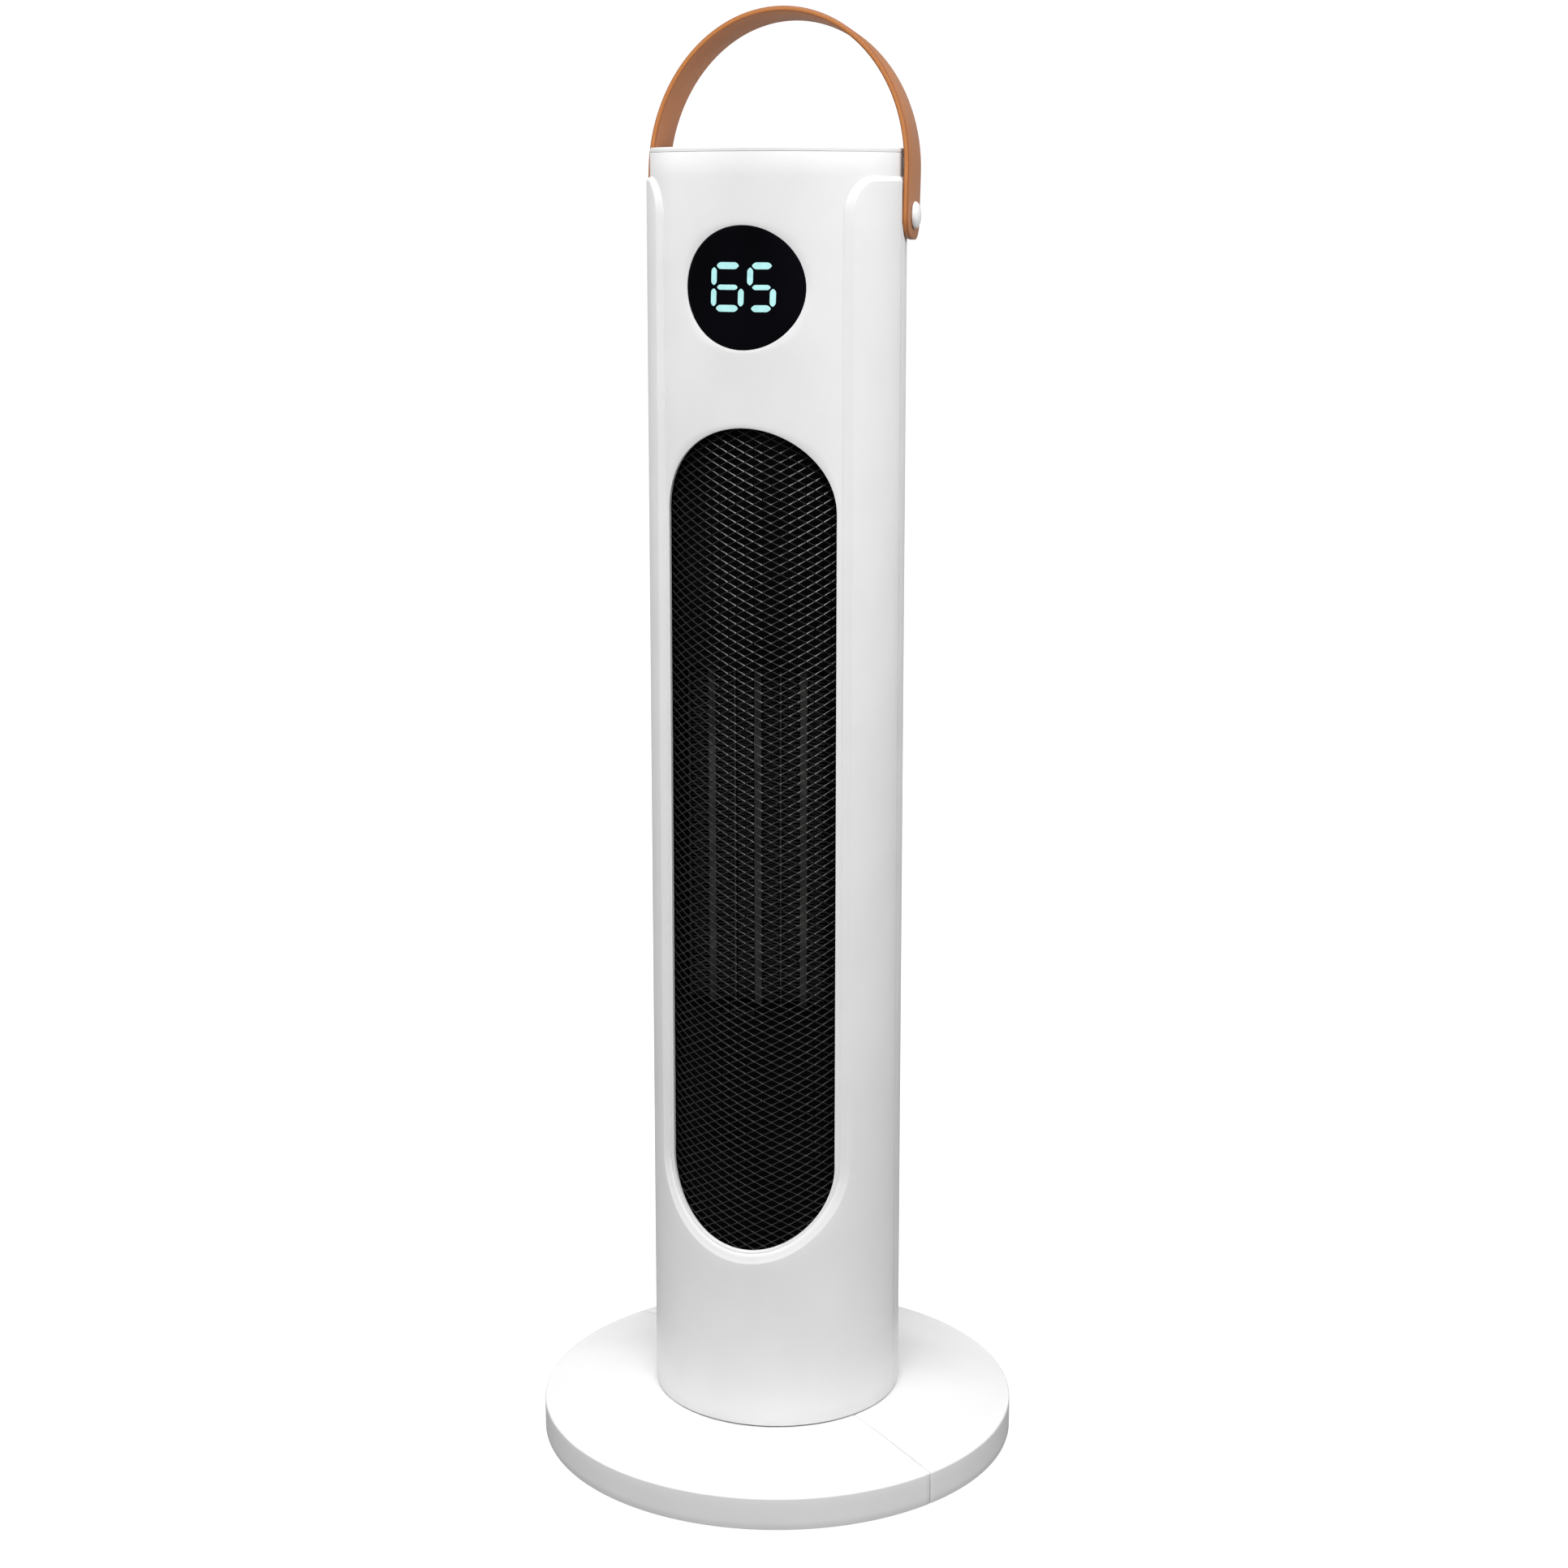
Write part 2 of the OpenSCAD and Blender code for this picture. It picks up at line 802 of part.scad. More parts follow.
module top_cover() {
  color(white)
    difference() {
      union() {
        rotate_extrude($fn = 120)
          polygon([[0, cover_z0], [panel_r, cover_z0], [panel_r, top_z - 0.8], [panel_r - 0.3, top_z - 0.2],
            [panel_r - 0.8, top_z], [0, top_z]]);
        translate([0, 0, cover_z0 - 6]) ring(panel_in - 0.2, panel_in - 1.8, 6.2);
        // Pegs that carry the control board
        for (a = [45:90:315])
          rotate([0, 0, a])
            translate([42, 0, board_z + board_t + fit_gap])
              cylinder(r = post_peg_r, h = cover_z0 - board_z - board_t, $fn = 32);
      }
      for (i = [0:5])
        translate([button_x(i), button_y(i), cover_z0 - 1])
          cylinder(r = button_r + move_gap, h = cover_t + 3, $fn = 64);
    }
}

module button(i) {
  translate([button_x(i), button_y(i), 0]) {
    rotate_extrude($fn = 64)
      polygon([[0, cover_z0 + 0.1], [button_r, cover_z0 + 0.1], [button_r, button_top - 0.7],
        [button_r - 0.2, button_top - 0.2], [button_r - 0.7, button_top], [0, button_top]]);
    translate([0, 0, board_z + board_t + switch_h + button_travel + move_gap])
      cylinder(r = plunger_r, h = cover_z0 + 0.2 - board_z - board_t - switch_h - button_travel - move_gap, $fn = 32);
  }
}

module button_power() {
  color(white) button(0);
}
module button_heat() {
  color(white) button(1);
}
module button_timer() {
  color(white) button(2);
}
module button_minus() {
  color(white) button(3);
}
module button_swing() {
  color(white) button(4);
}
module button_plus() {
  color(white) button(5);
}

// Board with one tactile switch under each button
module control_board() {
  color(board_green) {
    translate([0, 0, board_z]) cylinder(r = 46, h = board_t);
    for (i = [0:5])
      translate([button_x(i), button_y(i), board_z + board_t]) {
        translate([-3, -3, 0]) cube([6, 6, switch_h - 1]);
        cylinder(r = 1.6, h = switch_h, $fn = 32);
      }
  }
}

// ---- Air guide and heater ----

// Dark guide behind the mesh, open at the heater pack
module air_guide() {
  guide_r = 53.6;
  color(dark)
    difference() {
      intersection() {
        translate([0, 0, panel_z0 + 4]) ring(guide_r, guide_r - 1.6, 414);
        translate([0, 0, panel_z0]) front_wedge(52, 440);
      }
      through_front()
        translate([-ptc_w / 2, ptc_z - ptc_h / 2]) square([ptc_w, ptc_h]);
    }
}

module heater_frame() {
  w = ptc_w + 2 * frame_wall;
  h = ptc_h + 2 * frame_wall;
  color(dark)
    difference() {
      translate([-w / 2, ptc_y - 1, ptc_z - h / 2]) cube([w, ptc_d + 2, h]);
      translate([-ptc_w / 2, ptc_y - 2, ptc_z - ptc_h / 2]) cube([ptc_w, ptc_d + 4, ptc_h]);
    }
}

module ptc_bars() {
  color([0.62, 0.6, 0.57])
    for (i = [-1:1])
      translate([i * bar_dx - bar_w / 2, ptc_y, ptc_z - ptc_h / 2 + 0.5])
        cube([bar_w, ptc_d, ptc_h - 1]);
}

// Corrugated fin strip beside a bar, thick from side to side
module fin_stack() {
  n = floor((ptc_h - 4) / fin_pitch);
  left = [for (i = [0:n]) [i % 2 == 0 ? fin_in : fin_out - fin_t, i * fin_pitch]];
  right = [for (i = [n:-1:0]) [i % 2 == 0 ? fin_in + fin_t : fin_out, i * fin_pitch]];
  translate([0, ptc_y + ptc_d - 0.5, ptc_z - ptc_h / 2 + 2])
    rotate([90, 0, 0]) linear_extrude(height = ptc_d - 1) polygon(concat(left, right));
}
module heater_fins() {
  color(alu)
    for (i = [-1:1])
      translate([i * bar_dx, 0, 0]) {
        fin_stack();
        mirror([1, 0, 0]) fin_stack();
      }
}

module heater_separators() {
  color(alu)
    for (x = [-1.5, -0.5, 0.5, 1.5])
      translate([x * bar_dx - sep_w / 2, ptc_y, ptc_z - ptc_h / 2 + 0.5])
        cube([sep_w, ptc_d, ptc_h - 1]);
}

module heater_tabs() {
  color(steel)
    for (i = [-1:1])
      translate([i * bar_dx - 3, ptc_y + ptc_d / 2 - 0.4, ptc_z - ptc_h / 2 - frame_wall - 9])
        difference() {
          cube([6, 0.8, 8.9]);
          translate([3, -1, 3]) rod_y(1, 3, 32);
        }
}

module thermal_cutout() {
  color(steel)
    translate([0, ptc_y + ptc_d / 2, ptc_z + ptc_h / 2 + frame_wall + 0.1]) {
      cylinder(r = 7, h = 5, $fn = 48);
      for (s = [-1, 1])
        translate([s * 3 - 1.5, -0.4, 5]) cube([3, 0.8, 7]);
    }
}

// ---- Blower ----

module at_wheel() {
  translate([0, wheel_y, 0]) children();
}

// Curved blade from the wheel's inner to its outer edge
module blade() {
  r0 = wheel_r * 0.76;
  r1 = wheel_r - 0.2;
  outer = [for (k = [0:4]) let (r = r0 + (r1 - r0) * k / 4) [r, 9 * pow(k / 4, 1.6)]];
  thick = 0.9;
  polygon(concat(
    [for (p = outer) [p[0] * cos(p[1]), p[0] * sin(p[1])]],
    [for (k = [4:-1:0]) let (p = outer[k]) [p[0] * cos(p[1]) - 0.2, p[0] * sin(p[1]) + thick]]
  ));
}

module blower_wheel() {
  stages = 4;
  pitch = (wheel_z1 - wheel_z0 - disc_t) / stages;
  color([0.1, 0.1, 0.11])
    at_wheel() {
      for (k = [0:stages])
        translate([0, 0, wheel_z0 + k * pitch])
          if (k == 0 || k == stages)
            ring(wheel_r, shaft_d_r + 0.02, disc_t);
          else
            ring(wheel_r, wheel_r * 0.72, disc_t);
      for (i = [0:blade_n - 1])
        rotate([0, 0, i * 360 / blade_n])
          translate([0, 0, wheel_z0 + 0.5])
            linear_extrude(height = wheel_z1 - wheel_z0 - 1) blade();
    }
}

module blower_shaft() {
  color(steel)
    at_wheel() {
      translate([0, 0, wheel_z0 - 12]) cylinder(r = shaft_d_r, h = 13.6, $fn = 32);
      translate([0, 0, wheel_z1 - disc_t]) cylinder(r = shaft_d_r, h = 48, $fn = 32);
    }
}

module lower_bush() {
  color([0.72, 0.58, 0.3])
    at_wheel()
      translate([0, 0, wheel_z0 - 11]) ring(5, shaft_d_r + 0.04, 8, 48);
}

// Duct around the wheel: back wall with a tongue, end plates above and below
module blower_scroll() {
  z0 = wheel_z0 - 7;
  z1 = wheel_z1 + 5;
  color(dark) {
    difference() {
      translate([0, 0, z0]) ring(52, 50.4, z1 - z0);
      translate([-30, 0, z0 - 1]) cube([60, 80, z1 - z0 + 2]);
      translate([-60, -80, z0 - 1]) cube([120, 80 + 2, z1 - z0 + 2]);
      // Gaps round the casing's middle screw bosses
      for (s = [-1, 1])
        translate([s * shell_screw_x, 0, screw_heights[1]]) rod_y(shell_boss_r + 0.6, 40);
    }
    for (z = [z0, z1 - 2])
      difference() {
        intersection() {
          translate([0, 0, z]) cylinder(r = 50.6, h = 2);
          translate([-60, -14, z]) cube([120, 80, 2]);
        }
        at_wheel() translate([0, 0, z - 1]) cylinder(r = z == z0 ? 5.1 : 6, h = 4);
      }
    // Ribs that rest on the rear casing
    for (a = [42, 138])
      for (z = [z0 + 20, z1 - 28])
        rotate([0, 0, a]) translate([51, -1.5, z]) cube([shell_in - 51.3, 3, 8]);
    translate([-31.6, -12, z0 + 1]) cube([1.6, 12, z1 - z0 - 2]);
    translate([28, -12, z0 + 1]) cube([1.6, 18, z1 - z0 - 2]);
  }
}

module motor_bracket() {
  z = wheel_z1 + 16;
  color(steel)
    difference() {
      union() {
        at_wheel() translate([-26, -16, z]) cube([52, 32, 1.5]);
        for (s = [-1, 1])
          translate([s * 25 - 0.75, wheel_y - 16, wheel_z1 + 5.1]) cube([1.5, 32, z - wheel_z1 - 5]);
      }
      at_wheel() translate([0, 0, z - 1]) cylinder(r = 6, h = 4);
    }
}

module fan_stator() {
  color([0.45, 0.46, 0.48])
    at_wheel()
      translate([0, 0, stator_z0])
        difference() {
          translate([-stator_r, -stator_r + 4, 0]) cube([2 * stator_r, 2 * stator_r + 6, stator_t]);
          translate([0, 0, -1]) cylinder(r = 10.3, h = stator_t + 2);
          translate([-stator_r + 8, 14, -1]) cube([2 * stator_r - 16, 9, stator_t + 2]);
        }
}

module fan_coil() {
  color(copper)
    at_wheel()
      translate([-9, 21, stator_z0 - 4])
        difference() {
          cube([18, 12, stator_t + 8]);
          translate([-1, 1.9, 3.9]) cube([20, 8.2, stator_t + 0.2]);
        }
}

module fan_rotor() {
  color([0.5, 0.5, 0.52])
    at_wheel()
      translate([0, 0, stator_z0 + move_gap]) ring(10, shaft_d_r, stator_t);
}

// ---- Electrics below ----

module power_board() {
  color(board_green) {
    translate([-32, board_y, 108]) cube([64, board_t, 84]);
    translate([-28, 8, 118]) cube([16, 12, 20]);
    translate([-8, 8, 118]) cube([16, 12, 20]);
    translate([12, 8, 116]) cube([14, 16, 26]);
    translate([-20, 15, 168]) rotate([0, 0, 0]) cylinder(r = 6, h = 18, $fn = 40);
  }
}

module tilt_switch() {
  color([0.15, 0.15, 0.16])
    translate([-38, -38, plate_z0 + plate_t]) cube([14, 14, 16]);
}

module rocker_housing() {
  color(dark)
    difference() {
      union() {
        translate([-10.5, 46, rocker_z - 7]) cube([21, 15.6, 14]);
        translate([-12, 61.6, rocker_z - 8.5]) cube([24, 1.4, 17]);
      }
      translate([-9, 52, rocker_z - 5.8]) cube([18, 20, 11.6]);
    }
}

module rocker_key() {
  color([0.1, 0.1, 0.1])
    translate([-8.6, 61, rocker_z])
      intersection() {
        rod_x(5.4, 17.2);
        translate([-1, -6, -5.3]) cube([20, 10, 10.6]);
      }
}

module cord_gland() {
  color(dark)
    translate([0, 0, gland_z])
      difference() {
        union() {
          translate([0, 56, 0]) rod_y(gland_r - 0.1, 8);
          translate([0, 61.8, 0]) rod_y(gland_r + 2, 1.6);
        }
        translate([0, 50, 0]) rod_y(gland_bore_r, 20);
      }
}

// ---- Handle ----

module pivot_pins() {
  color(steel)
    for (s = [0, 1])
      mirror([s, 0, 0])
        translate([0, pivot_y, pivot_z]) {
          translate([52, 0, 0]) rod_x(2.45, seat_x - 52, 32);
          translate([seat_x, 0, 0]) rod_x(pin_r, cap_z - seat_x);
          translate([cap_z, 0, 0]) rod_x(5, 1.1);
        }
}

module pivot_caps() {
  color(white)
    for (s = [0, 1])
      mirror([s, 0, 0])
        translate([cap_z, pivot_y, pivot_z])
          rotate([0, 90, 0])
            rotate_extrude($fn = 64)
              polygon(concat(
                [[5.05, 0], [cap_r, 0]],
                [for (t = [10:10:90]) [cap_r * cos(t), 0.4 + (cap_h - 0.4) * sin(t)]],
                [[0, 1.15], [5.05, 1.15]]
              ));
}

// Arch outline: straight legs below an elliptical top
function arch(w, h) = concat(
  [[w, -strap_w / 2]],
  [for (t = [0:5:180]) [w * cos(t), strap_ell_z + (h - strap_ell_z) * sin(t)]],
  [[-w, -strap_w / 2]]
);

// Places the handle's own frame, upright on its pivots
module on_handle() {
  translate([0, pivot_y, pivot_z]) rotate([-strap_lean, 0, 0]) children();
}

module strap_solid() {
  intersection() {
    translate([0, strap_w / 2, 0])
      rotate([90, 0, 0])
        linear_extrude(height = strap_w)
          difference() {
            polygon(arch(strap_x, strap_h));
            polygon(concat(
              [[strap_x - strap_t, -strap_w]],
              arch(strap_x - strap_t, strap_h - strap_t),
              [[-strap_x + strap_t, -strap_w]]
            ));
          }
    // Side outline: straight, with two round corners at the foot
    translate([-big / 2, 0, strap_corner - strap_foot]) {
      for (s = [-1, 1])
        translate([0, s * (strap_w / 2 - strap_corner), 0]) rod_x(strap_corner, big, 64);
      translate([0, strap_corner - strap_w / 2, -strap_corner]) cube([big, strap_w - 2 * strap_corner, 120]);
      translate([0, -strap_w / 2, 0]) cube([big, strap_w, 120]);
    }
  }
}

module handle_strap() {
  color(tan)
    on_handle()
      difference() {
        strap_solid();
        translate([-big / 2, 0, 0]) rod_x(eyelet_r, big);
      }
}

module strap_eyelets() {
  color(steel)
    on_handle()
      for (s = [0, 1])
        mirror([s, 0, 0])
          translate([strap_x - strap_t, 0, 0])
            rotate([0, 90, 0]) ring(eyelet_r - 0.02, pin_r + run_gap, strap_t, 64);
}

base_half_front();
base_half_rear();
ballast_plate();
rubber_feet();
base_screws();
pivot_post();
glide_ring();
thrust_washer();
post_circlip();
swing_gear();
hub_screws();
bottom_plate();
swing_motor();
swing_pinion();
motor_spacers();
front_shell();
rear_shell();
front_panel();
front_grille();
grille_clamp();
display_lens();
display_module();
display_board();
top_cover();
control_board();
shell_screws();
bottom_screws();
air_guide();
heater_frame();
ptc_bars();
heater_fins();
heater_separators();
heater_tabs();
thermal_cutout();
blower_scroll();
blower_wheel();
blower_shaft();
lower_bush();
motor_bracket();
fan_stator();
fan_coil();
fan_rotor();
power_board();
tilt_switch();
rocker_housing();
rocker_key();
cord_gland();
pivot_pins();
pivot_caps();
handle_strap();
strap_eyelets();
button_power();
button_heat();
button_timer();
button_swing();
button_minus();
button_plus();
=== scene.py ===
"""Looks of the tower ceramic heater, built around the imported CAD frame.

Lengths are millimetres until a mesh is made; angles are degrees from the front (-Y) towards +X.
"""

import json
from math import asin, atan2, cos, degrees, hypot, pi, radians, sin, sqrt

import bmesh
import bpy
from mathutils import Matrix, Vector
from mathutils.kdtree import KDTree


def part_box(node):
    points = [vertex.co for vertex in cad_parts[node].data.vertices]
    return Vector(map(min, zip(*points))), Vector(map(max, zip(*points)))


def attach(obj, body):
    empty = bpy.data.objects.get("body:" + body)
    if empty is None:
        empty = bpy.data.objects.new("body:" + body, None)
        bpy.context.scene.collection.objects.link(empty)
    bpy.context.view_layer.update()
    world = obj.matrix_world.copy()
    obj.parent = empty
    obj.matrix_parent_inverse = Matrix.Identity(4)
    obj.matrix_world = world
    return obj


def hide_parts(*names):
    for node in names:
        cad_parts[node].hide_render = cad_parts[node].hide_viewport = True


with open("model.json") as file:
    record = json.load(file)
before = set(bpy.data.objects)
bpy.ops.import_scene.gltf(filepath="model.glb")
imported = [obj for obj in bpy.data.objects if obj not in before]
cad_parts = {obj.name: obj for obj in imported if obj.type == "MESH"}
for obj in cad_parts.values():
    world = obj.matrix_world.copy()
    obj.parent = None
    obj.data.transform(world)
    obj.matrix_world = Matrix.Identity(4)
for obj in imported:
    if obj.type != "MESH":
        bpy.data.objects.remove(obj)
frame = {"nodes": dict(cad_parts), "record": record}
for left_over in ("Cube", "Light", "Camera"):
    if left_over in bpy.data.objects:
        bpy.data.objects.remove(bpy.data.objects[left_over])
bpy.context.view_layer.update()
MM = 0.001
SCENE = bpy.context.scene

# Main sizes, as in the CAD
R_SHELL, R_INNER, R_PANEL, R_PANEL_IN = 61.4, 59.8, 59.6, 57.4
SEAM = degrees(atan2(sqrt(R_SHELL**2 - 3.05**2), 3.05))
Z_FOOT, Z_SHOULDER, Z_COVER, Z_TOP = 24.9, 624.1, 635.3, 637.4
OUT_W, OUT_Z0, OUT_Z1, WINDOW_Z0 = 40.4, 153.8, 470.3, 155.1
BEVEL_OUT, BEVEL_IN = 47.0, 43.0
DISPLAY_R, DISPLAY_Z = 28.0, 574.3
BASE_YAW = -36.5
PIVOT_Y, PIVOT_Z, LEAN, SEAT_R = 11.2, 606.4, 6.0, 14.2
BUTTONS = {
    "button_power": (-22, -10), "button_heat": (0, -10), "button_timer": (22, -10),
    "button_minus": (-22, 10), "button_swing": (0, 10), "button_plus": (22, 10),
}


def cyl(r, t, z):
    """Point on a cylinder round the tower's axis."""
    return Vector((r * sin(radians(t)), -r * cos(radians(t)), z))


def cut(r, a, z):
    """Point on a cylinder straight behind the front view's point (a, z)."""
    return Vector((a, -sqrt(r * r - a * a), z))


def lerp(a, b, k):
    return a + (b - a) * k


def steps(a, b, n, ends=True):
    """n steps from a to b; ends=False leaves b out."""
    return [lerp(a, b, i / n) for i in range(n + 1 if ends else n)]


# ---------------------------------------------------------------- materials

def shader(name, rough, metal=0.0, **sockets):
    mat = bpy.data.materials.new(name)
    mat.use_nodes = True
    bsdf = mat.node_tree.nodes["Principled BSDF"]
    bsdf.inputs["Roughness"].default_value = rough
    bsdf.inputs["Metallic"].default_value = metal
    for key, value in sockets.items():
        bsdf.inputs[key.replace("_", " ")].default_value = value
    return mat, mat.node_tree, bsdf


def node(tree, kind, inputs=(), **props):
    made = tree.nodes.new(kind)
    for key, value in props.items():
        setattr(made, key, value)
    for key, value in dict(inputs).items():
        if isinstance(value, bpy.types.NodeSocket):
            tree.links.new(value, made.inputs[key])
        else:
            made.inputs[key].default_value = value
    return made


def place(tree, stretch=(1, 1, 1)):
    coords = node(tree, "ShaderNodeTexCoord")
    return node(tree, "ShaderNodeMapping", {"Vector": coords.outputs["Object"], "Scale": stretch}).outputs[0]


def noise(tree, scale, detail=2.0, stretch=(1, 1, 1), rough=0.5):
    return node(tree, "ShaderNodeTexNoise", {
        "Vector": place(tree, stretch), "Scale": scale, "Detail": detail, "Roughness": rough}).outputs["Fac"]


def ramp(tree, fac, *stops):
    made = node(tree, "ShaderNodeValToRGB", {"Fac": fac})
    elements = made.color_ramp.elements
    for i, (at, colour) in enumerate(stops):
        e = elements[i] if i < 2 else elements.new(at)
        e.position, e.color = at, (*colour, 1)
    return made.outputs["Color"]


def span(tree, fac, low, high):
    return node(tree, "ShaderNodeMapRange", {
        "Value": fac, "From Min": 0.3, "From Max": 0.7, "To Min": low, "To Max": high}).outputs[0]


def bump(tree, height, strength, distance):
    values = {"Height": height, "Strength": strength, "Distance": distance}
    return node(tree, "ShaderNodeBump", values).outputs[0]


def surface(name, dark, light, rough, metal=0.0, tone=25.0, grain=1800.0, depth=0.00002,
            swing=0.06, stretch=(1, 1, 1), **sockets):
    """Everyday procedural finish: slow tone change, fine grain and uneven gloss."""
    mat, tree, bsdf = shader(name, rough, metal, **sockets)
    link = tree.links.new
    link(ramp(tree, noise(tree, tone, 3.0, stretch), (0.35, dark), (0.65, light)), bsdf.inputs["Base Color"])
    link(span(tree, noise(tree, tone * 3, 2.0, stretch), rough - swing, rough + swing),
         bsdf.inputs["Roughness"])
    link(bump(tree, noise(tree, grain, 2.0, stretch), 0.25, depth), bsdf.inputs["Normal"])
    return mat


MATS = {
    "white_plastic": surface("white_plastic", (0.79, 0.79, 0.795), (0.82, 0.82, 0.823), 0.36, IOR=1.5),
    "button_plastic": surface("button_plastic", (0.77, 0.77, 0.775), (0.80, 0.80, 0.80), 0.3),
    "steel": surface("steel", (0.46, 0.47, 0.49), (0.56, 0.57, 0.59), 0.32, 1.0, 60.0, 900.0,
                     stretch=(1, 1, 6)),
    "zinc_screw": surface("zinc_screw", (0.50, 0.50, 0.49), (0.62, 0.61, 0.57), 0.35, 1.0, 300.0, 1500.0),
    "rubber": surface("rubber", (0.018, 0.018, 0.019), (0.03, 0.03, 0.032), 0.8, tone=90.0, grain=2600.0,
                      depth=0.00006),
    "black_plastic": surface("black_plastic", (0.011, 0.011, 0.012), (0.017, 0.017, 0.019), 0.46, tone=40.0),
    # Painted shade: near-black, barely reflecting colour for the inner parts behind the mesh, standing in for
    # the shade inside the tower
    "painted_shade_black": surface("painted_shade_black", (0.0018, 0.0018, 0.0018), (0.0032, 0.0032, 0.0032), 0.7, tone=40.0,
                           Specular_IOR_Level=0.05),
    "pom": surface("pom", (0.70, 0.70, 0.66), (0.78, 0.78, 0.74), 0.42, tone=60.0),
    "motor_case": surface("motor_case", (0.33, 0.34, 0.36), (0.42, 0.43, 0.45), 0.38, 1.0, 50.0, 700.0),
    # Painted shade: the ceramic heater and the fin aluminium get colours far darker than the bare materials,
    # standing in for the shade inside the tower
    "ceramic_heater": surface("ceramic_heater", (0.015, 0.0145, 0.014), (0.055, 0.054, 0.052), 0.55, 0.2,
                              60.0, 1200.0),
    "fin_aluminium": surface("fin_aluminium", (0.05, 0.05, 0.052), (0.085, 0.085, 0.088), 0.45, 0.8,
                             120.0, 1500.0),
    "bronze": surface("bronze", (0.42, 0.27, 0.12), (0.55, 0.37, 0.18), 0.4, 1.0, 200.0, 2200.0),
}


def mesh_metal():
    """Black baked enamel on the expanded metal: glossy, slightly pooled at the knots."""
    mat, tree, bsdf = shader("mesh_metal", 0.26, 0.0, Specular_IOR_Level=0.7)
    link = tree.links.new
    link(ramp(tree, noise(tree, 180.0), (0.3, (0.005, 0.005, 0.005)), (0.7, (0.011, 0.011, 0.011))),
         bsdf.inputs["Base Color"])
    link(span(tree, noise(tree, 420.0), 0.26, 0.32), bsdf.inputs["Roughness"])
    link(bump(tree, noise(tree, 1400.0), 0.4, 0.00004), bsdf.inputs["Normal"])
    return mat


def display_glass():
    """Tinted acrylic: black, clear gloss, barely visible moulding waves."""
    mat, tree, bsdf = shader("display_glass", 0.06, 0.0, IOR=1.49, Specular_IOR_Level=0.04)
    link = tree.links.new
    link(ramp(tree, noise(tree, 30.0, 1.0, (1, 1, 0.3)),
              (0.35, (0.0015, 0.0015, 0.002)), (0.65, (0.003, 0.003, 0.005))), bsdf.inputs["Base Color"])
    link(span(tree, noise(tree, 90.0), 0.05, 0.1), bsdf.inputs["Roughness"])
    link(bump(tree, noise(tree, 45.0, 0.0, (1, 1, 0.15)), 0.15, 0.0002), bsdf.inputs["Normal"])
    return mat


def display_led():
    """Lit segments: pale cyan, a little uneven behind the diffuser."""
    mat, tree, bsdf = shader("display_led", 0.4)
    bsdf.inputs["Base Color"].default_value = (0.02, 0.03, 0.03, 1)
    glow = ramp(tree, noise(tree, 260.0), (0.3, (0.43, 0.79, 0.80)), (0.7, (0.51, 0.92, 0.91)))
    tree.links.new(glow, bsdf.inputs["Emission Color"])
    bsdf.inputs["Emission Strength"].default_value = 1.0
    return mat


def circuit_board():
    """Green solder mask over faint straight tracks."""
    mat, tree, bsdf = shader("circuit_board", 0.35)
    link = tree.links.new
    tracks = node(tree, "ShaderNodeTexBrick", {
        "Vector": place(tree), "Scale": 120.0, "Mortar Size": 0.035,
        "Color1": (0.012, 0.09, 0.035, 1), "Color2": (0.014, 0.11, 0.04, 1), "Mortar": (0.03, 0.19, 0.08, 1)})
    link(tracks.outputs["Color"], bsdf.inputs["Base Color"])
    link(bump(tree, tracks.outputs["Fac"], 0.4, 0.00004), bsdf.inputs["Normal"])
    return mat


def copper_coil():
    """Enamelled winding: fine parallel turns."""
    mat, tree, bsdf = shader("copper_coil", 0.3, 1.0)
    link = tree.links.new
    turns = node(tree, "ShaderNodeTexWave", {
        "Vector": place(tree), "Scale": 420.0, "Distortion": 0.4}, bands_direction="Z").outputs["Fac"]
    link(ramp(tree, turns, (0.2, (0.30, 0.10, 0.04)), (0.8, (0.68, 0.29, 0.13))), bsdf.inputs["Base Color"])
    link(bump(tree, turns, 0.6, 0.0002), bsdf.inputs["Normal"])
    return mat


def tan_leather():
    """Smooth tan strap: fine pebbled tone, slightly uneven surface and burnished darker rims.

    The mesh's "rim" attribute is 1 on the rounded corners between a face and an edge."""
    mat, tree, bsdf = shader("tan_leather", 0.42, 0.0, Sheen_Weight=0.08)
    link = tree.links.new
    cells = node(tree, "ShaderNodeTexVoronoi", {"Vector": place(tree), "Scale": 1300.0}).outputs["Distance"]
    tone = ramp(tree, noise(tree, 30.0, 3.0), (0.3, (0.385, 0.14, 0.041)), (0.7, (0.42, 0.155, 0.048)))
    fine = ramp(tree, cells, (0.0, (1.0, 1.0, 1.0)), (0.55, (0.97, 0.965, 0.96)))
    mixed = node(tree, "ShaderNodeMix", data_type="RGBA", blend_type="MULTIPLY")
    mixed.inputs["Factor"].default_value = 0.5
    link(tone, mixed.inputs["A"])
    link(fine, mixed.inputs["B"])
    rim = node(tree, "ShaderNodeAttribute", attribute_name="rim").outputs["Fac"]
    burnt = node(tree, "ShaderNodeMix", data_type="RGBA")
    link(node(tree, "ShaderNodeMapRange", {"Value": rim, "From Min": 0.1, "From Max": 0.6}).outputs[0],
         burnt.inputs["Factor"])
    link(mixed.outputs["Result"], burnt.inputs["A"])
    link(ramp(tree, rim, (0.5, (0.22, 0.068, 0.02)), (0.95, (0.47, 0.17, 0.042))), burnt.inputs["B"])
    link(burnt.outputs["Result"], bsdf.inputs["Base Color"])
    link(span(tree, noise(tree, 60.0), 0.36, 0.48), bsdf.inputs["Roughness"])
    link(bump(tree, noise(tree, 120.0), 0.15, 0.0001), bsdf.inputs["Normal"])
    return mat


for make_mat in (mesh_metal, display_glass, display_led, circuit_board, copper_coil, tan_leather):
    MATS[make_mat.__name__] = make_mat()


# ---------------------------------------------------------------- mesh helpers

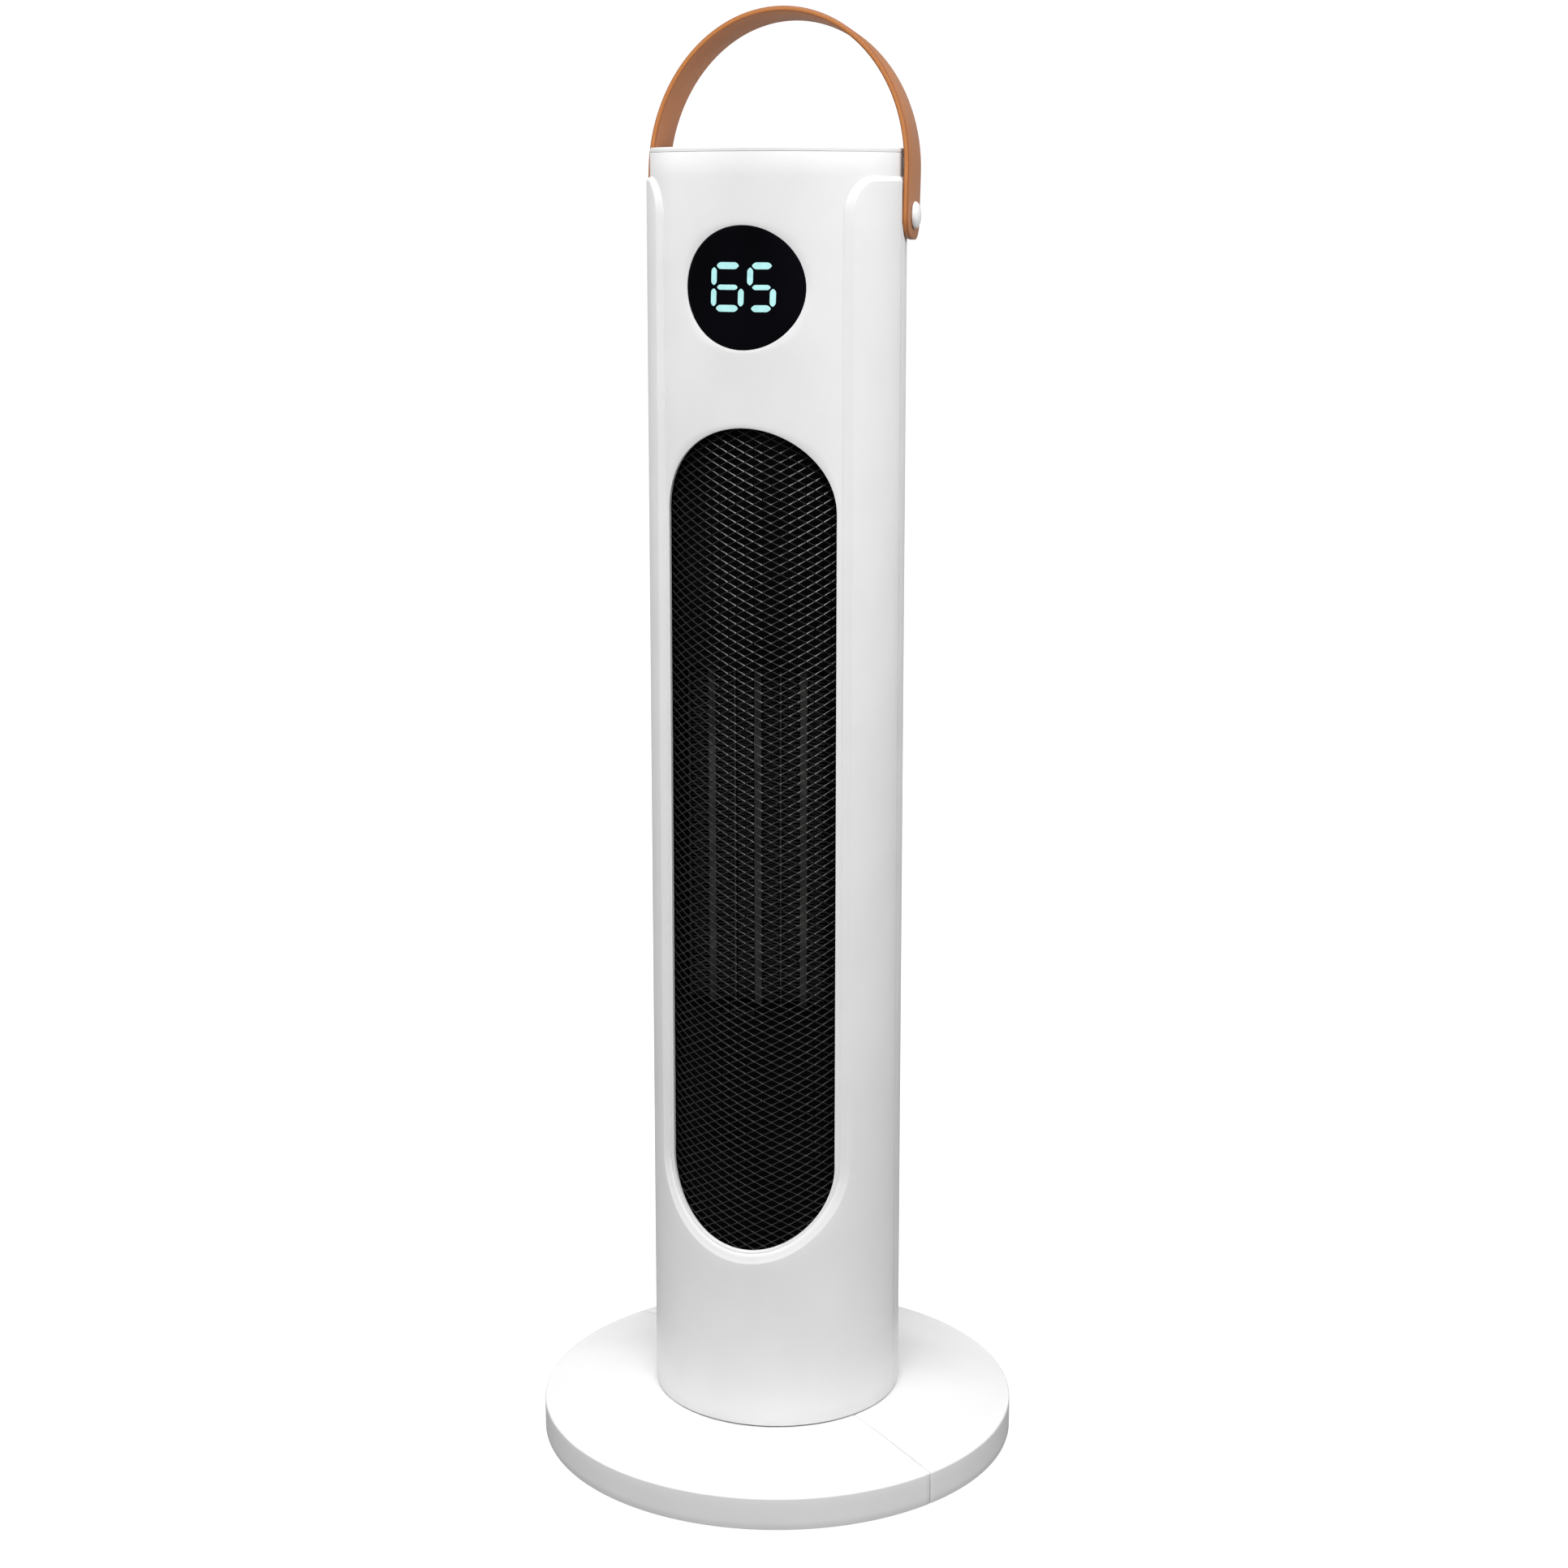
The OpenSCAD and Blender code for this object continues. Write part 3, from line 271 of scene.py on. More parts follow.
class Part:
    """Points and faces of one piece, gathered before its mesh is made."""

    def __init__(self):
        self.points, self.faces = [], []

    def add(self, points, faces):
        base = len(self.points)
        self.points.extend(points)
        self.faces.extend(tuple(base + i for i in f) for f in faces)

    def loft(self, rows, around=False, along=False, caps=False):
        """Quads between rows of points. around closes each row, along joins the last row to the first."""
        n, m = len(rows[0]), len(rows)
        faces = []
        for j in range(m if along else m - 1):
            for i in range(n if around else n - 1):
                k, l = (i + 1) % n, (j + 1) % m
                faces.append((j * n + i, j * n + k, l * n + k, l * n + i))
        if caps:
            faces.append(tuple(range(n)))
            faces.append(tuple((m - 1) * n + i for i in range(n)))
        self.add([p for row in rows for p in row], faces)
        return self

    def build(self, name, body, slot, *replaced, sharp=38.0):
        mesh = bpy.data.meshes.new(name)
        mesh.from_pydata([Vector(p) * MM for p in self.points], [], self.faces)
        bm = bmesh.new()
        bm.from_mesh(mesh)
        bmesh.ops.remove_doubles(bm, verts=bm.verts, dist=2e-6)
        bmesh.ops.dissolve_degenerate(bm, edges=bm.edges, dist=1e-7)
        bmesh.ops.recalc_face_normals(bm, faces=bm.faces)
        bm.to_mesh(mesh)
        bm.free()
        return piece(bpy.data.objects.new(name, mesh), body, slot, *replaced, sharp=sharp)


def piece(obj, body, slot, *replaced, sharp=38.0):
    """Shades a finished mesh, gives it its material and puts it on its CAD body."""
    if obj.name not in SCENE.collection.all_objects:
        SCENE.collection.objects.link(obj)
    obj.data.materials.clear()
    obj.data.materials.append(MATS[slot])
    for face in obj.data.polygons:
        face.use_smooth = True
    obj.data.set_sharp_from_angle(angle=radians(sharp))
    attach(obj, body)
    if replaced:
        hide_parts(*replaced)
    return obj


def lathe(part, profile, t0=0.0, t1=360.0, n=128, centre=(0, 0)):
    """Closed (r, z) outline turned about a vertical line, whole or from t0 to t1 with end caps."""
    whole = t1 - t0 > 359.9
    rows = []
    for t in steps(t0, t1, n, not whole):
        shift = Vector((*centre, 0))
        rows.append([cyl(r, t, z) + shift for r, z in profile])
    return part.loft(rows, around=True, along=whole, caps=not whole)


def cutters(shapes):
    """One mesh object from several closed Parts, to be cut away."""
    whole = Part()
    for shape in shapes:
        whole.add(shape.points, shape.faces)
    mesh = bpy.data.meshes.new("cutter")
    mesh.from_pydata([Vector(p) * MM for p in whole.points], [], whole.faces)
    bm = bmesh.new()
    bm.from_mesh(mesh)
    bmesh.ops.recalc_face_normals(bm, faces=bm.faces)
    bm.to_mesh(mesh)
    bm.free()
    obj = bpy.data.objects.new("cutter", mesh)
    SCENE.collection.objects.link(obj)
    return obj


def apply(obj):
    """Turns the object's modifiers into its mesh."""
    bpy.context.view_layer.update()
    graph = bpy.context.evaluated_depsgraph_get()
    mesh = bpy.data.meshes.new_from_object(obj.evaluated_get(graph))
    obj.modifiers.clear()
    obj.data = mesh
    return obj


def carve(obj, shapes, width=0.3, segments=2):
    """Cuts closed shapes out of a piece and rounds the sharp edges."""
    tool = cutters(shapes)
    mod = obj.modifiers.new("cut", "BOOLEAN")
    mod.operation, mod.solver, mod.object = "DIFFERENCE", "EXACT", tool
    apply(obj)
    bpy.data.objects.remove(tool)
    return soften(obj, width, segments)


def soften(obj, width, segments=2, angle=35.0):
    mod = obj.modifiers.new("round", "BEVEL")
    mod.width, mod.segments, mod.limit_method, mod.angle_limit = width * MM, segments, "ANGLE", radians(angle)
    mod.use_clamp_overlap = True
    return apply(obj)


def even_shading(obj, radii, top=None):
    """Exact normals on turned walls and on a flat top, so that nothing smears beside the cut-outs."""
    mesh = obj.data
    normals = [n.vector.copy() for n in mesh.corner_normals]
    for face in mesh.polygons:
        for loop in face.loop_indices:
            x, y, z = mesh.vertices[mesh.loops[loop].vertex_index].co / MM
            radial = Vector((x, y, 0)).normalized()
            if any(abs(hypot(x, y) - r) < 0.02 for r in radii) and face.normal.dot(radial) > 0.7:
                normals[loop] = radial
            elif top is not None and abs(z - top) < 0.002 and face.normal.z > 0.7:
                normals[loop] = Vector((0, 0, 1))
    mesh.normals_split_custom_set(normals)


def bar(outline, frame_from, frame_to):
    """Closed prism: an outline of (u, v) placed by two functions of (u, v), one for each end."""
    return Part().loft([[frame_from(u, v) for u, v in outline], [frame_to(u, v) for u, v in outline]],
                       around=True, caps=True)


def along_x(outline, x0, x1):
    """Prism over an outline of (y, z)."""
    return bar(outline, lambda u, v: Vector((x0, u, v)), lambda u, v: Vector((x1, u, v)))


def along_y(outline, y0, y1):
    """Prism over an outline of (x, z)."""
    return bar(outline, lambda u, v: Vector((u, y0, v)), lambda u, v: Vector((u, y1, v)))


def along_z(outline, z0, z1):
    """Prism over an outline of (x, y)."""
    return bar(outline, lambda u, v: Vector((u, v, z0)), lambda u, v: Vector((u, v, z1)))


def circle(r, n=48, cu=0.0, cv=0.0):
    return [(cu + r * cos(2 * pi * i / n), cv + r * sin(2 * pi * i / n)) for i in range(n)]


def round_box(w, h, r, cu=0.0, cv=0.0, n=6):
    """Outline of a rectangle with round corners."""
    out = []
    for k, (sx, sy) in enumerate(((1, 1), (-1, 1), (-1, -1), (1, -1))):
        for a in steps(90 * k, 90 * k + 90, n):
            out.append((cu + sx * (w / 2 - r) + r * cos(radians(a)),
                        cv + sy * (h / 2 - r) + r * sin(radians(a))))
    return out


# ---------------------------------------------------------------- front casing

def window_rim():
    """Samples along the shoulder and the window's U, left to right.

    Each is (outer edge, inner edge, casing's far edge) as (degrees, height)."""
    t_out, t_in = degrees(asin(BEVEL_OUT / R_SHELL)), degrees(asin(BEVEL_IN / R_PANEL))
    z_edge, z_flare, turn = Z_SHOULDER - 1.5, 606.4, 12.0
    t_end = t_out + turn
    left = []
    for k in range(6):
        t = lerp(-SEAM, -t_end, k / 6)
        left.append(((t, z_edge), (t, Z_SHOULDER), (-SEAM, z_edge - 0.4 - 1.6 * k)))
    for k in range(13):
        a = radians(90 - 7.5 * k)
        left.append((
            (-t_out - turn * (1 - cos(a)), z_flare + (z_edge - z_flare) * sin(a)),
            (-t_in - (t_end - t_in) * (1 - cos(a)), z_flare + (Z_SHOULDER - z_flare) * sin(a)),
            (-SEAM, z_edge - 10 - 1.3 * k),
        ))
    for z in steps(594.0, WINDOW_Z0, 14)[:-1]:
        left.append(((-t_out, z), (-t_in, z), (-SEAM, z)))
    for k in range(31):
        a = radians(180 + 3 * k)
        z_far = lerp(WINDOW_Z0, Z_FOOT, min(1, k / 15))
        t_far = lerp(-SEAM, 0, max(0, (k - 15) / 15))
        left.append((
            (degrees(asin(BEVEL_OUT * cos(a) / R_SHELL)), WINDOW_Z0 + BEVEL_OUT * sin(a)),
            (degrees(asin(BEVEL_IN * cos(a) / R_PANEL)), WINDOW_Z0 + BEVEL_IN * sin(a)),
            (t_far, z_far),
        ))
    mirrored = [tuple((-t, z) for t, z in sample) for sample in reversed(left[:-1])]
    return left + mirrored


def front_casing():
    arc = radians(R_SHELL)
    rows = []
    for (to, zo), (ti, zi), (tb, zb) in window_rim():
        across = Vector(((to - ti) * arc, zo - zi))
        across.normalize()

        def off(d, r):
            return cyl(r, to + across.x * d / arc, zo + across.y * d)

        near = Vector((to + across.x * 0.7 / arc, zo + across.y * 0.7))
        far = Vector((tb, zb))
        length = max(hypot((far.x - near.x) * arc, far.y - near.y), 1e-3)

        def flat(d, r):
            """d millimetres inside the casing's far edge."""
            p = near.lerp(far, max(0.0, 1 - d / length))
            return cyl(r, p.x, p.y)

        row = [cyl(R_INNER, tb, zb), flat(0, R_SHELL - 0.35), flat(0.1, R_SHELL - 0.1), flat(0.35, R_SHELL)]
        for k in range(1, 14):
            row.append(flat(lerp(0.35, length, k / 14), R_SHELL))
        row += [off(0.7, R_SHELL), off(0.35, R_SHELL - 0.04), off(0, R_SHELL - 0.17)]
        rim, inner = off(-0.35, R_SHELL - 0.36), cyl(R_PANEL + 0.22, ti, zi)
        row += [rim, rim.lerp(inner, 0.5), inner]
        row += [cyl(R_PANEL + 0.05, ti - across.x * 0.12 / arc, zi - across.y * 0.12),
                cyl(R_PANEL - 0.3, ti, zi), cyl(R_INNER, to, zo)]
        for k in range(1, 8):
            p = near.lerp(far, k / 8)
            row.append(cyl(R_INNER, p.x, p.y))
        rows.append(row)
    part = Part().loft(rows, around=True, caps=True)
    return part.build("casing_front", "tower", "white_plastic", "front_shell")


# ---------------------------------------------------------------- front panel

PANEL_HALF, PANEL_MID = 62.0, 530.0


def ring_samples(hole, z_low, z_high, straight):
    """Once round a hole: its edge's points with the matching points of the rectangle about it.

    Edge points are (x, height), the rectangle's are (degrees, height)."""
    out = []
    n = 24
    right, left = PANEL_HALF, -PANEL_HALF
    z0, z1 = hole["z0"], hole["z1"]

    def at(a, z):
        return hole["r"] * cos(radians(a)), z + hole["r"] * sin(radians(a))

    for k in range(n):
        out.append((at(180 + 45 * k / n, z0), (left, lerp(z0, z_low, k / n))))
    for k in range(2 * n):
        out.append((at(225 + 45 * k / n, z0), (lerp(left, right, k / (2 * n)), z_low)))
    for k in range(n):
        out.append((at(315 + 45 * k / n, z0), (right, lerp(z_low, z0, k / n))))
    for k in range(straight):
        out.append((at(0, lerp(z0, z1, k / straight)), (right, lerp(z0, z1, k / straight))))
    for k in range(n):
        out.append((at(45 * k / n, z1), (right, lerp(z1, z_high, k / n))))
    for k in range(2 * n):
        out.append((at(45 + 45 * k / n, z1), (lerp(right, left, k / (2 * n)), z_high)))
    for k in range(n):
        out.append((at(135 + 45 * k / n, z1), (left, lerp(z_high, z1, k / n))))
    for k in range(straight):
        out.append((at(180, lerp(z1, z0, k / straight)), (left, lerp(z1, z0, k / straight))))
    return out


def front_panel():
    part = Part()
    outlet = {"r": OUT_W, "z0": OUT_Z0, "z1": OUT_Z1}
    disc = {"r": DISPLAY_R + 0.12, "z0": DISPLAY_Z, "z1": DISPLAY_Z}
    zones = (
        (outlet, 101.0, PANEL_MID, 14, 0.55, (True, False)),
        (disc, PANEL_MID, Z_SHOULDER, 0, 0.25, (False, False)),
    )
    for hole, z_low, z_high, straight, edge, walls in zones:
        samples = ring_samples(hole, z_low, z_high, straight)
        sheet, back = [], []
        for (a, z), (t, zb) in samples:
            zc = min(max(z, hole["z0"]), hole["z1"])
            out = Vector((a, z - zc)).normalized()

            def edge_point(d, drop):
                return cut(R_PANEL - drop, a + out.x * d, z + out.y * d)

            th = degrees(asin((a + out.x * edge) / R_PANEL))
            zh = z + out.y * edge
            sheet.append([edge_point(0, R_PANEL - R_PANEL_IN), edge_point(0, edge),
                          edge_point(edge * 0.3, edge * 0.3), edge_point(edge, 0)]
                         + [cyl(R_PANEL, lerp(th, t, k / 10), lerp(zh, zb, k / 10)) for k in range(1, 11)])
            ti = degrees(asin(a / R_PANEL_IN))
            back.append([cyl(R_PANEL_IN, lerp(ti, t, k / 5), lerp(z, zb, k / 5)) for k in range(6)])
        part.loft(sheet, along=True)
        part.loft(back, along=True)
        n = len(samples)
        for i in range(n):
            (_, (ta, za)), (_, (tb, zb)) = samples[i], samples[(i + 1) % n]
            if za == zb and za in (z_low, z_high) and not walls[0 if za == z_low else 1]:
                continue
            part.add([cyl(R_PANEL, ta, za), cyl(R_PANEL, tb, zb),
                      cyl(R_PANEL_IN, tb, zb), cyl(R_PANEL_IN, ta, za)], [(0, 1, 2, 3)])
    # Neck above the casing, out to the side seams
    angles = steps(-SEAM, -PANEL_HALF, 12, False) + steps(-PANEL_HALF, PANEL_HALF, 48, False) \
        + steps(PANEL_HALF, SEAM, 12)
    top = Z_COVER - 0.1
    heights = [(R_PANEL, Z_SHOULDER), (R_PANEL, top - 0.2), (R_PANEL - 0.06, top - 0.06),
               (R_PANEL - 0.2, top), (R_PANEL_IN, top), (R_PANEL_IN, Z_SHOULDER)]
    part.loft([[cyl(r, t, z) for r, z in heights] for t in angles])
    for t0, t1 in zip(angles, angles[1:]):
        if t1 <= -PANEL_HALF + 1e-6 or t0 >= PANEL_HALF - 1e-6:
            part.add([cyl(R_PANEL, t0, Z_SHOULDER), cyl(R_PANEL, t1, Z_SHOULDER),
                      cyl(R_PANEL_IN, t1, Z_SHOULDER), cyl(R_PANEL_IN, t0, Z_SHOULDER)], [(0, 1, 2, 3)])
    for t in (-SEAM, SEAM):
        part.add([cyl(r, t, z) for r, z in heights], [tuple(range(len(heights)))])
    return part.build("panel_front", "tower", "white_plastic", "front_panel")


# ---------------------------------------------------------------- expanded-metal mesh

MESH_R, CELL_W, CELL_H = 56.8, 8.3, 4.31
STRAND_W, STRAND_T, TILT = 0.48, 0.3, 38.0


def inside_outlet(a, z, w):
    return hypot(a, z - min(max(z, OUT_Z0), OUT_Z1)) < w


def outlet_mesh():
    part = Part()
    arc = radians(MESH_R)
    cols, rows = 7, int((OUT_Z1 - OUT_Z0 + 2 * OUT_W) / CELL_H) + 3

    def strand(s0, z0, s1, z1):
        along = Vector((s1 - s0, z1 - z0)).normalized()
        down = Vector((along.y, -along.x)) if along.x > 0 else Vector((-along.y, along.x))
        mid = ((s0 + s1) / 2, (z0 + z1) / 2)
        t_mid = mid[0] / arc
        if abs(t_mid) > 60 or not inside_outlet(MESH_R * sin(radians(t_mid)), mid[1], OUT_W + 1.2):
            return
        rings = []
        for k in (0.0, 0.16, 0.5, 0.84, 1.0):
            s, z = lerp(s0, s1, k), lerp(z0, z1, k)
            wide = STRAND_W * (1.25 if k in (0.0, 1.0) else 0.86 if k == 0.5 else 1.0)
            lift = 0.12 if k in (0.0, 1.0) else 0.0
            ring = []
            for u, v in ((-0.5, -0.5), (0.5, -0.5), (0.5, 0.5), (-0.5, 0.5)):
                p = u * wide * cos(radians(TILT)) - v * STRAND_T * sin(radians(TILT))
                q = u * wide * sin(radians(TILT)) + v * STRAND_T * cos(radians(TILT))
                ring.append(cyl(MESH_R + q + lift, (s + down.x * p) / arc, z + down.y * p))
            rings.append(ring)
        part.loft(rings, around=True, caps=True)

    for j in range(rows):
        for i in range(-cols, cols + 1):
            for half in (0.0, 0.5):
                s, z = (i + half) * CELL_W, OUT_Z0 - OUT_W - 2 + (j + half) * CELL_H
                strand(s, z, s + CELL_W / 2, z + CELL_H / 2)
                strand(s, z, s + CELL_W / 2, z - CELL_H / 2)
    # Flat border clamped behind the panel
    near, far, front_r, back_r = OUT_W + 0.15, OUT_W + 1.8, 57.2, 56.4
    section = ((front_r, near), (front_r, far), (back_r, far), (back_r, near))
    border = []
    for a, z in stadium(48):
        t = Vector((a, z - min(max(z, OUT_Z0), OUT_Z1))).normalized()
        border.append([cut(r, t.x * w, z + t.y * (w - OUT_W)) for r, w in section])
    part.loft(border, around=True, along=True)
    return part.build("outlet_mesh", "tower", "mesh_metal", "front_grille", sharp=25.0)


def stadium(n, straight=24):
    """The outlet's outline as (x, z), from its left side down and round."""
    def half(start, z):
        turns = (radians(start + 180 * k / n) for k in range(n))
        return [(OUT_W * cos(a), z + OUT_W * sin(a)) for a in turns]

    return half(180, OUT_Z0) + [(OUT_W, z) for z in steps(OUT_Z0, OUT_Z1, straight, False)] \
        + half(0, OUT_Z1) + [(-OUT_W, z) for z in steps(OUT_Z1, OUT_Z0, straight, False)]


# ---------------------------------------------------------------- heater fins

def heater_fins():
    """Corrugated strips at the real pitch, three on each side of a bar."""
    low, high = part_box("heater_fins")
    z0, z1 = low[2] / MM, high[2] / MM
    bar_x = (69 - 0.8 - 0.4) / 3
    near, far = 1.85, bar_x / 2 - 0.55
    y0, y1 = low[1] / MM + 0.1, high[1] / MM - 0.1
    folds = int((z1 - z0) / 0.82)
    half = 0.09
    section = ((y0, -half), (y1, -half), (y1, half), (y0, half))
    fins = Part()
    for middle in (-bar_x, 0.0, bar_x):
        for side in (-1, 1):
            rows = []
            for k, z in enumerate(steps(z0 + 0.2, z1 - 0.2, folds)):
                x = middle + side * (near if k % 2 else far)
                rows.append([Vector((x, y, z + v)) for y, v in section])
            fins.loft(rows, around=True, caps=True)
    fins.build("fin_strips", "tower", "fin_aluminium", "heater_fins", sharp=20.0)


# ---------------------------------------------------------------- display

def display():
    n = 96
    turns = [2 * pi * i / n for i in range(n)]
    rings = []
    for r, depth in ((DISPLAY_R, 2.2), (DISPLAY_R, 0.25), (DISPLAY_R - 0.08, 0.08), (DISPLAY_R - 0.3, 0.0)) \
            + tuple((k * DISPLAY_R / 10, 0.0) for k in range(9, 0, -1)):
        rings.append([cut(R_PANEL - depth, r * cos(a), DISPLAY_Z + r * sin(a)) for a in turns])
    part = Part().loft(rings, around=True)
    part.add(rings[-1], [tuple(range(n))])
    back = [[cut(R_PANEL_IN, k * DISPLAY_R / 4 * cos(a), DISPLAY_Z + k * DISPLAY_R / 4 * sin(a))
             for a in turns] for k in (4, 3, 2, 1)]
    part.loft(back, around=True)
    part.add(back[-1], [tuple(range(n))])
    part.build("display_window", "tower", "display_glass", "display_lens")

    digits = Part()
    level, up, slant = ("top", "mid", "low"), 22.6, 0.028

    def segment(cx, cz, long, thick, upright):
        taper = thick * 0.62
        face, foot = [], []
        for k in range(17):
            x = long / 2 * sin(radians(-90 + 180 * k / 16))
            end = max(0.0, (abs(x) - (long / 2 - taper)) / taper)
            h = thick / 2 * max(0.0, 1 - end**1.7) ** 0.75
            pair = [(x, h), (x, -h)]
            pts = [(cx + v, cz + u) if upright else (cx + u, cz + v) for u, v in pair]
            pts = [(a + slant * (z - DISPLAY_Z), z) for a, z in pts]
            face.append([cut(R_PANEL + 0.06, a, z) for a, z in pts])
            foot.append([cut(R_PANEL - 0.3, a, z) for a, z in pts])
        rows = [[f[0], f[1], g[1], g[0]] for f, g in zip(face, foot)]
        digits.loft(rows, around=True)

    z_top = DISPLAY_Z + 0.4 + up / 2
    for left, wide, marks in ((-15.5, 16.7, "top mid low ul ll lr"), (1.9, 13.9, "top mid low ul lr")):
        for mark in marks.split():
            if mark in level:
                drop = {"top": 1.7, "mid": 11.4, "low": 20.9}[mark]
                size = (0.6 * wide, 2.3) if mark == "mid" else (0.64 * wide, 3.1)
                segment(left + wide / 2, z_top - drop, *size, False)
            else:
                drop = 6.5 if mark[0] == "u" else 16.0
                side = left + 1.7 if mark[1] == "l" else left + wide - 1.7
                segment(side, z_top - drop, 8.0, 2.7, True)
    digits.build("display_digits", "tower", "display_led", sharp=60.0)


# ---------------------------------------------------------------- rear casing

def rear_casing():
    neck = Z_COVER - 0.1
    profile = [(R_SHELL - 0.35, Z_FOOT), (R_SHELL, Z_FOOT + 0.35)]
    profile += [(R_SHELL, z) for z in steps(Z_FOOT + 20, Z_SHOULDER - 25, 12)]
    profile += [(R_SHELL, Z_SHOULDER - 2.1), (R_SHELL - 0.12, Z_SHOULDER - 1.65),
                (R_SHELL - 0.4, Z_SHOULDER - 1.3), (R_PANEL + 0.25, Z_SHOULDER - 0.1),
                (R_PANEL, Z_SHOULDER + 0.3), (R_PANEL, neck - 0.2), (R_PANEL - 0.06, neck - 0.06),
                (R_PANEL - 0.2, neck), (R_PANEL_IN, neck), (R_PANEL_IN, Z_SHOULDER - 4),
                (R_INNER, Z_SHOULDER - 6), (R_INNER, Z_FOOT)]
    part = lathe(Part(), profile, SEAM + 0.1, 360 - SEAM - 0.1, 124)
    obj = part.build("casing_rear", "tower", "white_plastic", "rear_shell")
    away = []
    # Intake slots, in five columns
    slot_z, slot_pitch, column_turn = 207, 9, 16
    for row in range(24):
        for col in range(5):
            slot = along_y(round_box(13.8, 4.0, 1.98, 0, slot_z + slot_pitch * row), 54, 68)
            turn = Matrix.Rotation(radians((col - 2) * column_turn), 3, "Z")
            slot.points = [turn @ p for p in slot.points]
            away.append(slot)
    # Screw holes and the strap's seats, then the switch and the gland
    screw_x, screw_r, switch_z, gland_z = 52.5, 2.4, 76, 46
    for s in (-1, 1):
        for z in (60, 300, 560):
            away.append(along_y(circle(screw_r, 24, s * screw_x, z), 8, 60))
        seat = [(45, 640), (45, PIVOT_Z - 18.6), (PIVOT_Y - 7.2, PIVOT_Z - 18.6)]
        seat += [(PIVOT_Y + SEAT_R * cos(radians(a)), PIVOT_Z + SEAT_R * sin(radians(a)))
                 for a in (-120.5, -130, -140, -150, -157, -163.6)]
        seat += [(-3.4, PIVOT_Z - 4), (-3.4, 640)]
        away.append(along_x(seat, s * 60.6, s * 70))
    away.append(along_y(round_box(21.2, 14.2, 0.8, 0, switch_z), 50, 70))
    away.append(along_y(circle(6.5, 48, 0, gland_z), 50, 70))
    carve(obj, away, 0.3)
    piece(obj, "tower", "white_plastic")
    even_shading(obj, (R_SHELL, R_PANEL))


# ---------------------------------------------------------------- top cover and buttons

def top_and_buttons():
    r = R_PANEL
    profile = [(0.001, Z_COVER + 0.2), (r - 0.2, Z_COVER), (r - 0.06, Z_COVER + 0.06),
               (r, Z_COVER + 0.2), (r, Z_TOP - 0.9), (r - 0.12, Z_TOP - 0.4), (r - 0.4, Z_TOP - 0.1),
               (r - 0.9, Z_TOP), (r - 6, Z_TOP), (0.001, Z_TOP)]
    obj = lathe(Part(), profile, n=144).build("cover_top", "tower", "white_plastic", "top_cover")
    away = [along_z(circle(7.3, 48, x, y), Z_COVER - 3, Z_TOP + 3) for x, y in BUTTONS.values()]
    carve(obj, away, 0.35)
    piece(obj, "tower", "white_plastic")
    even_shading(obj, (R_PANEL,), Z_TOP)
    for name, (x, y) in BUTTONS.items():
        profile = [(0.001, 635.4), (6.9, 635.4), (7, 635.5), (7, 637.5), (6.9, 637.85), (6.6, 638.1),
                   (6.1, 638.2), (4.5, 638.1), (2.5, 638.0), (0.001, 637.95)]
        part = lathe(Part(), profile, n=64, centre=(x, y))
        lathe(part, [(0.001, 623.3), (3, 623.3), (3, 635.5), (0.001, 635.5)], n=32, centre=(x, y))
        part.build("cap_" + name, name, "button_plastic", name)


# ---------------------------------------------------------------- base

def base():
    r0, r1, rim, rim_r, top = 117.0, 60.5, 17.0, 1.0, 24.4
    k = (top - rim) / (r0**2 - r1**2)

    def dome(r):
        return rim + (r0**2 - r**2) * k

    outer = [(117.4, 0.8), (117.85, 1.0), (118, 1.5)]
    outer += [(118, z) for z in steps(5, 12, 2)]
    outer += [(r0 + rim_r * cos(radians(a)), rim - rim_r + rim_r * sin(radians(a))) for a in range(0, 91, 15)]
    outer += [(r, dome(r)) for r in steps(r0 - 3, r1 + 0.3, 16)]
    outer += [(r1, dome(r1) - 0.15), (r1 - 0.3, 23.4), (16.2, 23.4)]
    inner = [(16.2, 19.4), (54.5, 19.4)] + [(r, dome(r) - 2.5) for r in steps(60, 113, 6)]
    inner += [(115.5, 12), (115.5, 0.8)]
    profile = outer + inner
    for name, start, node_name in (("base_rear", 90.0, "base_half_rear"),
                                   ("base_front", -90.0, "base_half_front")):
        rows = []
        # The base's own X axis is where the halves meet
        first = start + BASE_YAW
        angles = [first + 0.16, first + 0.2, first + 0.32] + steps(first + 1.5, first + 178.5, 118) \
            + [first + 179.68, first + 179.8, first + 179.84]
        for i, t in enumerate(angles):
            inset = {0: 0.4, 1: 0.15, len(angles) - 2: 0.15, len(angles) - 1: 0.4}.get(i, 0.0)
            row = []
            for j, (r, z) in enumerate(profile):
                if j < len(outer):
                    flat = 1.0 if j > 12 else 0.0
                    row.append(cyl(r - inset * (1 - flat), t, z - inset * flat))
                else:
                    row.append(cyl(r, t, z))
            rows.append(row)
        Part().loft(rows, around=True, caps=True).build(name, "base", "white_plastic", node_name)


# ---------------------------------------------------------------- handle

